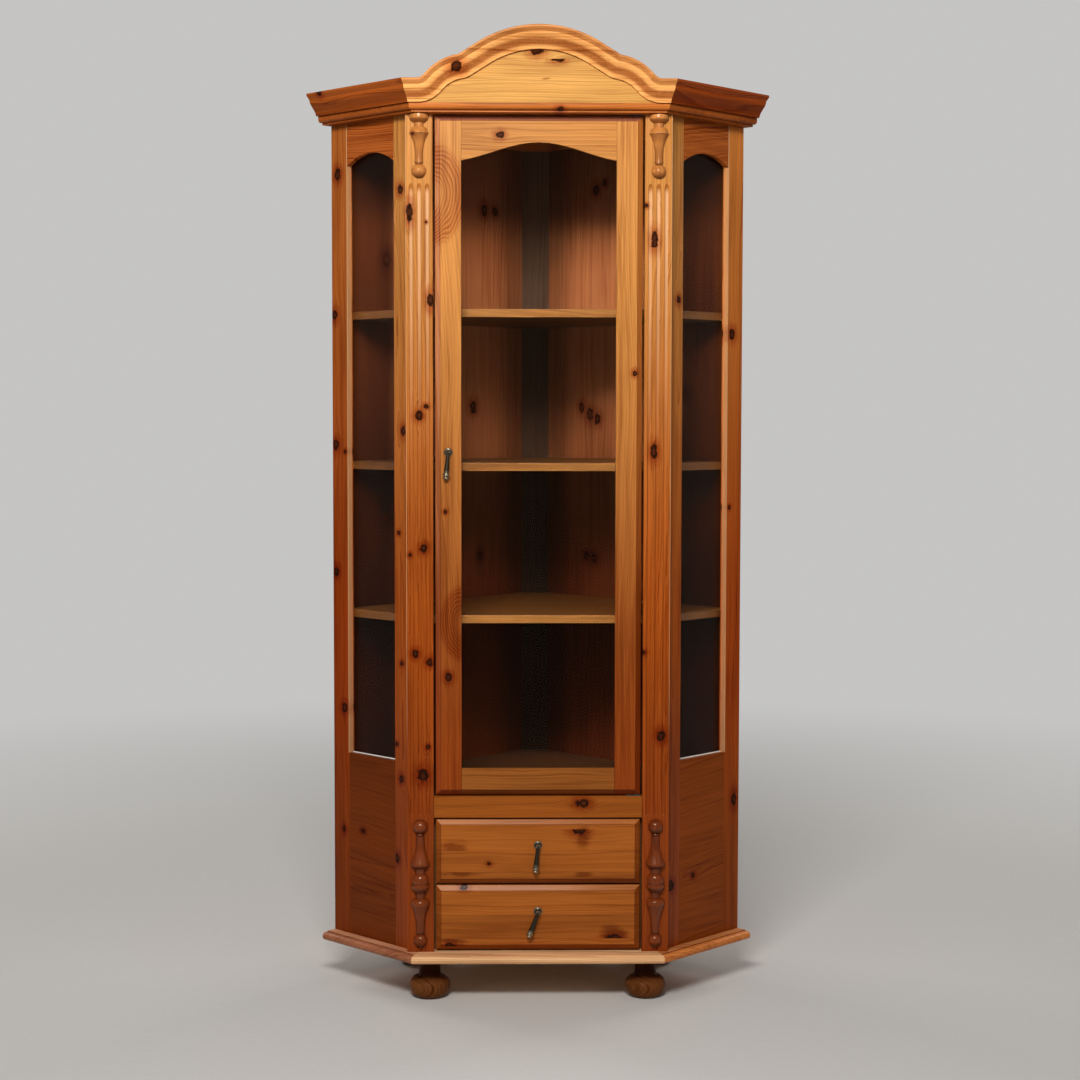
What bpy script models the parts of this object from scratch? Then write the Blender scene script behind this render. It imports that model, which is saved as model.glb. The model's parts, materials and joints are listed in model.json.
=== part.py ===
"""Corner display cabinet in lacquered pine, built from its separate pieces.

Metres, +Z up, the front faces -Y, the feet stand on Z = 0 and the plan is symmetric about X = 0.
While the pieces are made, Y = 0 is the face of the front posts; in the end the plan is centred on Y = 0.
"""

import math

import bmesh
import bpy
from mathutils import Matrix, Vector

# Plan of the carcass: each side turns back from the front by SIDE_ANGLE, and a back wall runs square to it
SIDE_ANGLE = math.radians(45.0)
CORNER_HALF_WIDTH = 0.255  # where the face of a side would meet the face of the front
SIDE_LENGTH = 0.277
REAR_HALF_WIDTH = 0.032  # the narrow board across the room's corner, seen from inside
WALL = 0.012

# Posts
CORNER_TO_OPENING = 0.0325  # from the plan's corner to the edge of the opening that door and drawers fill
POST_FACE_WIDTH = 0.057
POST_THICKNESS = 0.024
POST_SIDE_WIDTH = 0.074  # how far the front post runs along the side, from the plan's corner
OUTER_POST_WIDTH = 0.052

# Heights, from the floor up
FOOT_HEIGHT = 0.085
BASE_THICKNESS = 0.019
DRAWER_FRONT_HEIGHT = 0.139
DRAWER_GAP = 0.004
MID_RAIL_HEIGHT = 0.046
DOOR_GAP_BELOW = 0.003
DOOR_HEIGHT = 1.433
DOOR_GAP_ABOVE = 0.003
TOP_THICKNESS = 0.0175
SILL_ABOVE_DECK = 0.068
SIDE_RAIL_END_DEPTH = 0.0905
SIDE_ARCH_RISE = 0.023
SHELF_HEIGHTS = (0.8065, 1.1325, 1.459)
SHELF_THICKNESS = 0.017
SHELF_SETBACK = 0.045
DECK_THICKNESS = 0.018
FIT = 0.0003  # gap between pieces that touch
RUNNING_FIT = 0.0001  # gap round a pin that turns
OVERCUT = 0.010  # how far a cutter runs past what it cuts

# Door and drawer fronts
FRONT_SETBACK = 0.002
FRONT_THICKNESS = 0.022
FRONT_SIDE_GAP = 0.0045
EDGE_WIDTH = 0.0108  # bevel round the door and the drawer fronts
EDGE_DEPTH = 0.006
STILE_WIDTH = 0.055
DOOR_BOTTOM_RAIL = 0.057
DOOR_TOP_RAIL_END = 0.0927
DOOR_ARCH_RISE = 0.0376
DOOR_ARCH_WAVE = 0.6  # the wavy part of that rise; the rest is a plain bow
GLASS = 0.003
GLASS_SETBACK = 0.012
REBATE = 0.010
GLASS_PLAY = 0.001  # between the edge of a pane and its rebate

# Drawers
CHEEK = 0.015
BOX_SIDE_CLEARANCE = 0.0015
BOX_WALL = 0.012
BOX_REAR_GAP = 0.027  # from the corners of the closed drawers' boxes to the back walls
BOX_HEIGHT = 0.105
UPPER_BOX_RAISE = 0.010  # the upper box stands this far above the bottom of its front
RUNNER_HEIGHT = 0.012
RUNNER_WIDTH = 0.0145
BOX_BOTTOM = 0.005
BOX_BOTTOM_RAISE = 0.010
GROOVE = 0.005

# Pivot hinges and catch
PIVOT_INSET = 0.008  # from the door's edge and from its front face
PIVOT_RADIUS = 0.003
PIVOT_LENGTH = 0.012
PIVOT_PLATE = 0.002
PIVOT_PLATE_LENGTH = 0.030
PIVOT_PLATE_WIDTH = 0.012
CATCH_WIDTH = 0.030
CATCH_DEPTH = 0.015
CATCH_DROP = 0.020

# Pulls
PULL_ABOVE_CENTRE = 0.0135
PULL_STANDOFF = 0.011  # from the face to the ball's centre
BALL_RADIUS = 0.0055
SPINDLE_RADIUS = 0.0025
NUT_RADIUS = 0.0055
NUT_THICKNESS = 0.004
ROSETTE_RADIUS = 0.0095
ROSETTE_THICKNESS = 0.004
ROSETTE_RIM = 0.0015
PIN_RADIUS = 0.00125
PIN_SPAN = 0.8  # half of the pin's length, in parts of the ball's radius
EYE_RADIUS = 0.0027
EYE_THICKNESS = 0.0026
DROP_GAP = 0.0008  # from the ball down to the drop's shoulder
DROP_LENGTH = 0.0575
DROP_TOP_RADIUS = 0.0040
DROP_FOOT_RADIUS = 0.0058
DROP_COLLAR_ABOVE_END = 0.0115
DROP_COLLAR_RADIUS = 0.0080
DROP_KNOB_RADIUS = 0.0062
DROP_KNOB_ABOVE_END = 0.0035
DROP_EASE = 0.001  # unit of the small steps in the drop's outline
PULL_TILTS = {"door": math.radians(5.0), "upper": math.radians(5.6), "lower": math.radians(20.0)}

# Mouldings
BASE_FLAT_OUT = 0.0215
BASE_NOSE_OUT = 0.036
BASE_STEP = 0.0015
TOP_EDGE_OUT = 0.0365
TOP_FILLET_OUT = 0.025
TOP_FILLET = 0.0045
TOP_ROUND = 0.0065
CROWN_HEIGHT = 0.0455
CROWN_BACK_OUT = 0.020  # of the side runs
ARCH_BACK_OUT = 0.0355  # of the arched run, where the pediment's face carries it
CROWN_FOOT_OUT = 0.043
CROWN_SWELL_OUT = 0.0610
CROWN_SWELL_TOP = 0.0325
CROWN_LIP_OUT = 0.069
CROWN_LIP_THICKNESS = 0.0045
PEDIMENT_THICKNESS = 0.018
PEDIMENT_BEHIND_CROWN = 0.030  # how far up behind the arched moulding the pediment board reaches

# Arch of the crown, from the flat at each end to the middle: turns and radii of its lower edge
ARCH_FOOT_HALF_WIDTH = 0.253
ARCH_STEEP = math.radians(47.0)
ARCH_SHOULDER = math.radians(9.0)
ARCH_SLOPE = math.radians(32.0)
ARCH_FOOT_RADIUS = 0.065
ARCH_SHOULDER_RADIUS = 0.068
ARCH_NECK_RADIUS = 0.045
ARCH_TOP_RADIUS = 0.195
ARCH_STEEP_RUN = 0.0098  # straight stretch at the steepest place

# Flutes and turnings of the front posts
FLUTE_COUNT = 3
FLUTE_PITCH = 0.017
FLUTE_WIDTH = 0.0095
FLUTE_DEPTH = 0.0035
FLUTE_HEAD_GAP = 0.0105  # between a flute's upper end and the turning over it
FLUTE_FOOT_GAP = 0.006  # between its lower end and the turning below
TURNING_RADIUS = 0.0205
TURNING_FOOT_GAP = 0.007
TURNING_HEAD_GAP = 0.0015

# Feet
FOOT_RADIUS = 0.044
FOOT_NECK_RADIUS = 0.024
FOOT_HEAD_RADIUS = 0.028
FOOT_HEAD_END = 0.93  # heights of the head's edge, the neck, the bun and its belly, in parts of the foot's
FOOT_NECK_START = 0.78
FOOT_BUN_TOP = 0.54
FOOT_BELLY = 0.31
FRONT_FOOT = (0.2325, 0.032)
MIDDLE_FOOT = (0.275, 0.300)
REAR_FOOT_Y = 0.545

COS_SIDE, SIN_SIDE = math.cos(SIDE_ANGLE), math.sin(SIDE_ANGLE)
OPENING_HALF_WIDTH = CORNER_HALF_WIDTH - CORNER_TO_OPENING
BASE_TOP = FOOT_HEIGHT + BASE_THICKNESS
RAIL_BOTTOM = BASE_TOP + 2 * DRAWER_FRONT_HEIGHT + 3 * DRAWER_GAP
DECK_TOP = RAIL_BOTTOM + MID_RAIL_HEIGHT
DECK_UNDERSIDE = DECK_TOP - DECK_THICKNESS
DOOR_BOTTOM = DECK_TOP + DOOR_GAP_BELOW
DOOR_TOP = DOOR_BOTTOM + DOOR_HEIGHT
TOP_UNDERSIDE = DOOR_TOP + DOOR_GAP_ABOVE
TOP_SURFACE = TOP_UNDERSIDE + TOP_THICKNESS
SILL = DECK_TOP + SILL_ABOVE_DECK
SIDE_RAIL_BOTTOM = TOP_UNDERSIDE - SIDE_RAIL_END_DEPTH
FRONT_BACK = FRONT_SETBACK + FRONT_THICKNESS  # Y of the back of the door and of the drawer fronts
FRONT_HALF_WIDTH = OPENING_HALF_WIDTH - FRONT_SIDE_GAP
WINDOW_START = POST_SIDE_WIDTH
WINDOW_END = SIDE_LENGTH - OUTER_POST_WIDTH
LOWER_FRONT_BOTTOM = BASE_TOP + DRAWER_GAP
UPPER_FRONT_BOTTOM = LOWER_FRONT_BOTTOM + DRAWER_FRONT_HEIGHT + DRAWER_GAP
BOX_HALF_WIDTH = FRONT_HALF_WIDTH - GROOVE
CHEEK_INNER = BOX_HALF_WIDTH + BOX_SIDE_CLEARANCE
BOX_START = FRONT_BACK + FIT
PIVOT_X = FRONT_HALF_WIDTH - PIVOT_INSET
PIVOT_Y = FRONT_SETBACK + PIVOT_INSET
POST_CENTRE = OPENING_HALF_WIDTH + POST_FACE_WIDTH / 2


def clear_scene():
    for old in list(bpy.data.objects):
        bpy.data.objects.remove(old)


def new_collection(name):
    made = bpy.data.collections.new(name)
    bpy.context.scene.collection.children.link(made)
    return made


def new_material(name, colour, roughness, metallic=0.0, alpha=1.0):
    made = bpy.data.materials.new(name)
    made.use_nodes = True
    shader = made.node_tree.nodes["Principled BSDF"]
    shader.inputs["Base Color"].default_value = (*colour, 1.0)
    shader.inputs["Roughness"].default_value = roughness
    shader.inputs["Metallic"].default_value = metallic
    shader.inputs["Alpha"].default_value = alpha
    made.diffuse_color = (*colour, alpha)
    return made


clear_scene()
CABINET = new_collection("corner_cabinet")
CUTTERS = new_collection("cutters")
CUTTERS.hide_render = True

PALE_PINE = new_material("pale_pine", (0.62, 0.33, 0.11), 0.35)
HONEY_PINE = new_material("honey_pine", (0.45, 0.20, 0.06), 0.35)
DARK_PINE = new_material("dark_pine", (0.30, 0.11, 0.035), 0.35)
INSIDE_PINE = new_material("inside_pine", (0.22, 0.10, 0.04), 0.5)
CLEAR_GLASS = new_material("clear_glass", (0.85, 0.9, 0.9), 0.03, 0.0, 0.25)
AGED_BRASS = new_material("aged_brass", (0.20, 0.16, 0.10), 0.35, 1.0)
STEEL = new_material("steel", (0.45, 0.45, 0.45), 0.35, 1.0)


def keep(name, mesh, material, location=(0, 0, 0), turn=0.0):
    """Puts a mesh in the cabinet's collection, turned about Z."""
    made = bpy.data.objects.new(name, mesh)
    made.location = location
    made.rotation_euler.z = turn
    mesh.materials.clear()
    mesh.materials.append(material)
    CABINET.objects.link(made)
    return made


def mesh_of(bm, name):
    bmesh.ops.recalc_face_normals(bm, faces=bm.faces)
    mesh = bpy.data.meshes.new(name)
    bm.to_mesh(mesh)
    bm.free()
    return mesh


def box_mesh(name, low, high):
    bm = bmesh.new()
    size = [b - a for a, b in zip(low, high)]
    centre = [(a + b) / 2 for a, b in zip(low, high)]
    bmesh.ops.create_cube(bm, matrix=Matrix.Translation(centre) @ Matrix.Diagonal((*size, 1)))
    return mesh_of(bm, name)


def box(name, low, high, material):
    return keep(name, box_mesh(name, low, high), material)


def outline_mesh(name, outline, low, high, upright=False):
    """A flat outline extruded from low to high: along Z, or along Y if it stands upright in X and Z."""
    curve = bpy.data.curves.new(name, "CURVE")
    curve.dimensions = "2D"
    curve.fill_mode = "BOTH"
    curve.extrude = (high - low) / 2
    spline = curve.splines.new("POLY")
    spline.points.add(len(outline) - 1)
    for point, (across, up) in zip(spline.points, outline):
        point.co = (across, up, 0, 1)
    spline.use_cyclic_u = True
    helper = bpy.data.objects.new(name, curve)
    CABINET.objects.link(helper)
    bpy.context.view_layer.update()
    mesh = bpy.data.meshes.new_from_object(helper.evaluated_get(bpy.context.evaluated_depsgraph_get()))
    bpy.data.objects.remove(helper)
    bpy.data.curves.remove(curve)
    bm = bmesh.new()
    bm.from_mesh(mesh)
    bpy.data.meshes.remove(mesh)
    bmesh.ops.remove_doubles(bm, verts=bm.verts, dist=1e-6)
    middle = (low + high) / 2
    if upright:
        bm.transform(Matrix.Translation((0, middle, 0)) @ Matrix.Rotation(math.pi / 2, 4, "X"))
    else:
        bm.transform(Matrix.Translation((0, 0, middle)))
    return mesh_of(bm, name)


def plan_piece(name, outline, low, high, material):
    return keep(name, outline_mesh(name, outline, low, high), material)


def lofted(name, rings, material):
    """A solid through rings of matching points, closed at both ends."""
    bm = bmesh.new()
    rows = [[bm.verts.new(point) for point in ring] for ring in rings]
    for before, after in zip(rows, rows[1:]):
        for i in range(len(before)):
            j = (i + 1) % len(before)
            bm.faces.new((before[i], before[j], after[j], after[i]))
    bm.faces.new(rows[0])
    bm.faces.new(rows[-1])
    return keep(name, mesh_of(bm, name), material)


def plane_cut(piece, point, normal):
    """Takes off everything on the side that the normal points to, in the piece's own space."""
    bm = bmesh.new()
    bm.from_mesh(piece.data)
    everything = list(bm.verts) + list(bm.edges) + list(bm.faces)
    cut = bmesh.ops.bisect_plane(
        bm, geom=everything, dist=1e-6, plane_co=point, plane_no=normal, clear_outer=True
    )
    rim = [e for e in cut["geom_cut"] if isinstance(e, bmesh.types.BMEdge)]
    bmesh.ops.contextual_create(bm, geom=rim)
    bmesh.ops.recalc_face_normals(bm, faces=bm.faces)
    bm.to_mesh(piece.data)
    bm.free()


def boolean(piece, mesh, operation="DIFFERENCE"):
    """Cuts a mesh from a piece, or joins it to the piece, in the piece's own space."""
    tool = bpy.data.objects.new(mesh.name, mesh)
    tool.parent = piece
    tool.hide_render = True
    tool.display_type = "WIRE"
    CUTTERS.objects.link(tool)
    modifier = piece.modifiers.new(mesh.name, "BOOLEAN")
    modifier.operation = operation
    modifier.solver = "EXACT"
    modifier.object = tool


def carry(name, location, pieces):
    """Hangs pieces on an empty that stands on the line they turn about or slide along."""
    carrier = bpy.data.objects.new(name, None)
    carrier.location = location
    CABINET.objects.link(carrier)
    for piece in pieces:
        piece.parent = carrier
        piece.location -= Vector(location)


def turned_mesh(name, profile, steps, axis="Z"):
    """A profile of (radius, height) points, top first, turned about Z, or about Y with its top in front."""
    helper_mesh = bpy.data.meshes.new(name)
    points = [(radius, 0, height) for radius, height in profile]
    helper_mesh.from_pydata(points, [(i, i + 1) for i in range(len(points) - 1)], [])
    helper = bpy.data.objects.new(name, helper_mesh)
    CABINET.objects.link(helper)
    screw = helper.modifiers.new("turned", "SCREW")
    screw.steps = steps
    screw.render_steps = steps
    screw.use_merge_vertices = True
    screw.merge_threshold = 1e-5
    bpy.context.view_layer.update()
    mesh = bpy.data.meshes.new_from_object(helper.evaluated_get(bpy.context.evaluated_depsgraph_get()))
    bpy.data.objects.remove(helper)
    bpy.data.meshes.remove(helper_mesh)
    bm = bmesh.new()
    bm.from_mesh(mesh)
    bpy.data.meshes.remove(mesh)
    if axis == "Y":
        bm.transform(Matrix.Rotation(math.pi / 2, 4, "X"))
    return mesh_of(bm, name)


def shade_round(piece):
    piece.data.shade_smooth()
    piece.data.set_sharp_from_angle(angle=math.radians(35))


def rod_mesh(name, radius, start, end, segments=16):
    """A round bar between two points."""
    start, end = Vector(start), Vector(end)
    bm = bmesh.new()
    turn = Vector((0, 0, 1)).rotation_difference(end - start).to_matrix().to_4x4()
    bmesh.ops.create_cone(
        bm, cap_ends=True, segments=segments, radius1=radius, radius2=radius, depth=(end - start).length,
        matrix=Matrix.Translation((start + end) / 2) @ turn,
    )
    return mesh_of(bm, name)


def side_point(side, along, out):
    """Plan point of a side wall: along from the plan's front corner, out from the wall's face."""
    x = CORNER_HALF_WIDTH + along * COS_SIDE + out * SIN_SIDE
    return side * x, along * SIN_SIDE - out * COS_SIDE


def side_x_at(y, out):
    """X of the line that lies out from a side wall's face, at this Y."""
    return CORNER_HALF_WIDTH + (y * COS_SIDE + out) / SIN_SIDE


def back_x_at(y, inset):
    """X of a back wall's face, inset from its outer face, at this Y."""
    along = SIDE_LENGTH - inset
    return CORNER_HALF_WIDTH + (along - y * SIN_SIDE) / COS_SIDE


def back_y_at(x, inset):
    """Y of a back wall's face, inset from its outer face, at this X."""
    return (SIDE_LENGTH - inset - (x - CORNER_HALF_WIDTH) * COS_SIDE) / SIN_SIDE


REAR_INNER = back_y_at(REAR_HALF_WIDTH, WALL)
REAR_OUTER = REAR_INNER + WALL
BOX_BACK = back_y_at(BOX_HALF_WIDTH, WALL) - BOX_REAR_GAP


def mirrored(right_half):
    """The right half of a symmetric plan outline, from front to back, followed by its mirror image."""
    return right_half + [(-x, y) for x, y in reversed(right_half)]


def front_corner(side, out, trim=0.0):
    """Where a moulding out from the front meets the one out from the side, trimmed along the front."""
    return side * (CORNER_HALF_WIDTH + out * math.tan(SIDE_ANGLE / 2) - trim), -out


def side_names():
    return (("left", -1), ("right", 1))


def arc(centre, radius, start, end, count):
    """Points along an arc, angles in radians, radius a number or a pair for an ellipse."""
    across, up = radius if isinstance(radius, tuple) else (radius, radius)
    return [
        (centre[0] + across * math.cos(a), centre[1] + up * math.sin(a))
        for a in (start + (end - start) * i / (count - 1) for i in range(count))
    ]


def moulded_board(name, edge, low, material):
    """A board under or over the whole plan, whose edge profile runs round the front and the sides."""
    rings = []
    for out, up in edge:
        rear = (back_x_at(REAR_OUTER, 0), REAR_OUTER)
        half = [front_corner(1, out), side_point(1, SIDE_LENGTH, out), rear]
        rings.append([(x, y, low + up) for x, y in mirrored(half)])
    return lofted(name, rings, material)


def base_board():
    nose = (BASE_THICKNESS - BASE_STEP) / 2
    centre = (BASE_NOSE_OUT - nose, nose)
    edge = arc(centre, nose, -math.pi / 2, math.pi / 2, 9)
    edge += [(BASE_FLAT_OUT, BASE_THICKNESS - BASE_STEP), (BASE_FLAT_OUT, BASE_THICKNESS)]
    moulded_board("bottom_board", edge, FOOT_HEIGHT, HONEY_PINE)


def top_board():
    centre = (TOP_EDGE_OUT - TOP_ROUND, TOP_FILLET + TOP_ROUND)
    edge = [(TOP_FILLET_OUT, 0), (TOP_FILLET_OUT, TOP_FILLET)]
    edge += arc(centre, TOP_ROUND, -math.pi / 2, 0, 5) + [(TOP_EDGE_OUT, TOP_THICKNESS)]
    moulded_board("top_board", edge, TOP_UNDERSIDE, HONEY_PINE)


def foot(name, x, y):
    """A turned bun under a waisted neck."""
    top = FOOT_HEIGHT - FIT
    bun_top = FOOT_BUN_TOP * FOOT_HEIGHT
    middle = FOOT_BELLY * FOOT_HEIGHT
    bulge = FOOT_RADIUS - FOOT_NECK_RADIUS
    profile = [(0, top), (FOOT_HEAD_RADIUS, top), (FOOT_HEAD_RADIUS, FOOT_HEAD_END * FOOT_HEIGHT)]
    profile += [(FOOT_NECK_RADIUS, FOOT_NECK_START * FOOT_HEIGHT), (FOOT_NECK_RADIUS, bun_top)]
    profile += arc((FOOT_NECK_RADIUS, middle), (bulge, bun_top - middle), math.radians(65), 0, 4)
    profile += arc((FOOT_NECK_RADIUS, middle), (bulge, middle), 0, -math.radians(85), 5)[1:]
    profile += [(FOOT_NECK_RADIUS, 0), (0, 0)]
    piece = keep(name, turned_mesh(name, profile, 20), HONEY_PINE, (x, y, 0))
    shade_round(piece)


def feet():
    for end, (x, y) in (("front", FRONT_FOOT), ("middle", MIDDLE_FOOT)):
        for label, side in side_names():
            foot(f"foot_{end}_{label}", side * x, y)
    foot("foot_rear", 0, REAR_FOOT_Y)


def turning(name, side, top, strokes):
    """Half of a turned spindle, flat against the front of a post."""
    height = top
    profile = [(0, top)]
    for drop, shape in strokes:
        length = drop * TURNING_RADIUS
        profile += [(radius * TURNING_RADIUS, height - length * share) for share, radius in shape]
        height -= length
    profile.append((0, height))
    mesh = turned_mesh(name, profile, 16)
    piece = keep(name, mesh, HONEY_PINE, (side * POST_CENTRE, -FIT, 0))
    plane_cut(piece, (0, 0, 0), (0, 1, 0))
    shade_round(piece)


def bead(drop, waist, belly, count=5):
    """A stretch of a turning that swells from its waist to its belly and back."""
    shape = []
    for i in range(count):
        share = (i + 0.5) / count
        shape.append((share, waist + (belly - waist) * math.sin(math.pi * share)))
    return drop, [(0, waist)] + shape + [(1, waist)]


def ball(radius, neck, count=7):
    """A ball between two necks."""
    lean = math.asin(neck / radius)
    drop = 2 * radius * math.cos(lean)
    shape = []
    for i in range(count):
        angle = lean + (math.pi - 2 * lean) * i / (count - 1)
        shape.append(((math.cos(lean) - math.cos(angle)) * radius / drop, radius * math.sin(angle)))
    return drop, shape


def sweep(drop, start, end, hollow, count=5):
    """A taper from one radius to another, hollowed by a share of their difference."""
    shape = []
    for i in range(count):
        share = i / (count - 1)
        straight = start + (end - start) * share
        shape.append((share, straight - hollow * abs(end - start) * math.sin(math.pi * share)))
    return drop, shape


def upper_turning_strokes():
    """Cap, bowl, neck, shoulder, rim, vase, shaft, groove and ball, downwards, in parts of the radius."""
    return [
        (0.24, [(0, 0.96), (1, 1.0)]),
        sweep(0.60, 0.99, 0.55, -0.35, 4),
        (0.48, [(0.06, 0.49), (1, 0.49)]),
        (0.46, [(0, 0.70), (0.25, 0.78), (0.6, 0.88), (1, 0.95)]),
        (0.18, [(0.2, 0.98), (0.8, 0.98)]),
        sweep(1.50, 0.95, 0.47, 0.20),
        (1.40, [(0.5, 0.43), (0.85, 0.43), (1, 0.45)]),
        (0.16, [(0.1, 0.37), (1, 0.37)]),
        ball(0.74, 0.27),
    ]


def lower_turning_strokes():
    """Ball, ring, bell, neck, dome, groove, disc, neck, bead, taper, groove and ball, in the same way."""
    return [
        ball(0.78, 0.30),
        bead(0.26, 0.36, 0.42, 2),
        sweep(2.92, 0.44, 1.0, 0.34),
        (0.46, [(0.1, 1.0), (0.35, 0.96), (0.7, 0.80), (1, 0.60)]),
        (0.63, [(0.04, 0.49), (1, 0.47)]),
        (0.87, [(0, 0.60), (0.15, 0.73), (0.4, 0.84), (0.8, 0.90), (1, 0.88)]),
        (0.20, [(0.1, 0.80), (0.9, 0.80)]),
        (0.79, [(0, 0.93), (0.3, 0.97), (0.6, 0.88), (1, 0.62)]),
        (0.68, [(0.05, 0.44), (1, 0.44)]),
        (0.84, [(0, 0.62), (0.15, 0.82), (0.4, 0.97), (0.7, 0.97), (1, 0.90)]),
        sweep(2.72, 0.90, 0.44, 0.32),
        (0.20, [(0.1, 0.36), (1, 0.36)]),
        ball(0.71, 0.27),
        (0.28, [(0, 0.27), (1, 0.22)]),
    ]


def drop_of(strokes):
    return TURNING_RADIUS * sum(drop for drop, _ in strokes)


UPPER_TURNING_TOP = TOP_UNDERSIDE - TURNING_HEAD_GAP
LOWER_TURNING_TOP = BASE_TOP + TURNING_FOOT_GAP + drop_of(lower_turning_strokes())


def turnings():
    for label, side in side_names():
        turning(f"turning_upper_{label}", side, UPPER_TURNING_TOP, upper_turning_strokes())
        turning(f"turning_lower_{label}", side, LOWER_TURNING_TOP, lower_turning_strokes())


def flute_mesh(name, x, low, high):
    """A round-nosed bar that leaves one flute in the face of a post."""
    half = FLUTE_WIDTH / 2
    radius = (half * half + FLUTE_DEPTH * FLUTE_DEPTH) / (2 * FLUTE_DEPTH)
    profile = [(0, high)] + arc((0, high - radius), radius, math.radians(60), 0, 3)
    profile += arc((0, low + radius), radius, 0, -math.radians(60), 3) + [(0, low)]
    mesh = turned_mesh(name, profile, 16)
    mesh.transform(Matrix.Translation((x, FLUTE_DEPTH - radius, 0)))
    return mesh


def side_rectangle(side, start, end, outer, inner):
    corners = ((start, outer), (end, outer), (end, inner), (start, inner))
    return [side_point(side, along, out) for along, out in corners]


def glass_rebate(name, side):
    """What the posts, the lower panel and the top rail of a side lose behind the glass."""
    start, end = WINDOW_START - REBATE, WINDOW_END + REBATE
    outline = side_rectangle(side, start, end, -GLASS_SETBACK, -POST_THICKNESS - OVERCUT)
    return outline_mesh(name, outline, SILL - REBATE, SIDE_RAIL_BOTTOM + SIDE_ARCH_RISE + REBATE)


def front_posts():
    low, high = BASE_TOP + FIT, TOP_UNDERSIDE - FIT
    outer = OPENING_HALF_WIDTH + POST_FACE_WIDTH
    flute_high = UPPER_TURNING_TOP - drop_of(upper_turning_strokes()) - FLUTE_HEAD_GAP
    flute_low = LOWER_TURNING_TOP + FLUTE_FOOT_GAP
    for label, side in side_names():
        outline = [
            (side * OPENING_HALF_WIDTH, 0),
            (side * outer, 0),
            (side * outer, (outer - CORNER_HALF_WIDTH) * SIN_SIDE / COS_SIDE),
            side_point(side, POST_SIDE_WIDTH, 0),
            side_point(side, POST_SIDE_WIDTH, -POST_THICKNESS),
            (side * side_x_at(POST_THICKNESS, -POST_THICKNESS), POST_THICKNESS),
            (side * OPENING_HALF_WIDTH, POST_THICKNESS),
        ]
        post = plan_piece(f"front_post_{label}", outline, low, high, HONEY_PINE)
        boolean(post, glass_rebate("front_rebate", side))
        for i in range(FLUTE_COUNT):
            x = side * POST_CENTRE + (i - (FLUTE_COUNT - 1) / 2) * FLUTE_PITCH
            boolean(post, flute_mesh(f"flute_{label}_{i}", x, flute_low, flute_high))


def outer_posts():
    for label, side in side_names():
        outline = side_rectangle(side, WINDOW_END, SIDE_LENGTH, 0, -POST_THICKNESS)
        post = plan_piece(f"outer_post_{label}", outline, BASE_TOP + FIT, TOP_UNDERSIDE - FIT, DARK_PINE)
        boolean(post, glass_rebate("outer_rebate", side))


def side_pieces():
    """The lower panel, the arched top rail and the glass of each side."""
    start, end = WINDOW_START + FIT, WINDOW_END - FIT
    half = (end - start) / 2
    radius = (half * half + SIDE_ARCH_RISE * SIDE_ARCH_RISE) / (2 * SIDE_ARCH_RISE)
    lean = math.asin(half / radius)
    top = TOP_UNDERSIDE - FIT
    centre = (0, SIDE_RAIL_BOTTOM + SIDE_ARCH_RISE - radius)
    arch = arc(centre, radius, math.pi / 2 - lean, math.pi / 2 + lean, 13)
    rail_outline = [(-half, top), (half, top)] + arch
    for label, side in side_names():
        outline = side_rectangle(side, start, end, 0, -POST_THICKNESS)
        panel = plan_piece(f"side_panel_{label}", outline, BASE_TOP + FIT, SILL, DARK_PINE)
        boolean(panel, glass_rebate("panel_rebate", side))
        mesh = outline_mesh(f"side_top_rail_{label}", rail_outline, 0, POST_THICKNESS, upright=True)
        x, y = side_point(side, (start + end) / 2, 0)
        mesh.transform(Matrix.Translation((x, y, 0)) @ Matrix.Rotation(side * SIDE_ANGLE, 4, "Z"))
        rail = keep(f"side_top_rail_{label}", mesh, DARK_PINE)
        boolean(rail, glass_rebate("rail_rebate", side))
        inset = REBATE - GLASS_PLAY
        face = -GLASS_SETBACK - FIT
        glass = side_rectangle(side, WINDOW_START - inset, WINDOW_END + inset, face, face - GLASS)
        low, high = SILL - inset, SIDE_RAIL_BOTTOM + SIDE_ARCH_RISE + inset
        plan_piece(f"side_glass_{label}", glass, low, high, CLEAR_GLASS)


def back_walls():
    low, high = BASE_TOP + FIT, TOP_UNDERSIDE - FIT
    for label, side in side_names():
        outline = [
            side_point(side, SIDE_LENGTH, -POST_THICKNESS - FIT),
            (side * back_x_at(REAR_INNER, 0), REAR_INNER),
            (side * back_x_at(REAR_INNER, WALL), REAR_INNER),
            side_point(side, SIDE_LENGTH - WALL, -POST_THICKNESS - FIT),
        ]
        wall = plan_piece(f"back_panel_{label}", outline, low, high, INSIDE_PINE)
        for i, height in enumerate(SHELF_HEIGHTS):
            housing = side_rectangle(
                side, SIDE_LENGTH - WALL - OVERCUT, SIDE_LENGTH - WALL + GROOVE, 0, -REAR_OUTER - OVERCUT
            )
            low_edge, high_edge = height - FIT, height + SHELF_THICKNESS + FIT
            boolean(wall, outline_mesh(f"housing_{label}_{i}", housing, low_edge, high_edge))
    inner_y = REAR_INNER + FIT
    half = [(back_x_at(inner_y, 0), inner_y), (back_x_at(REAR_OUTER, 0), REAR_OUTER)]
    plan_piece("back_corner_board", mirrored(half), low, high, INSIDE_PINE)


def floor_outline(front_y, side_out, wall_inset, rear_y):
    """Outline of a board that fills the inside of the carcass."""
    wall_along = SIDE_LENGTH - wall_inset
    half = [
        (side_x_at(front_y, side_out), front_y),
        side_point(1, wall_along, side_out),
        (back_x_at(rear_y, wall_inset), rear_y),
    ]
    return mirrored(half)


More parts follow.
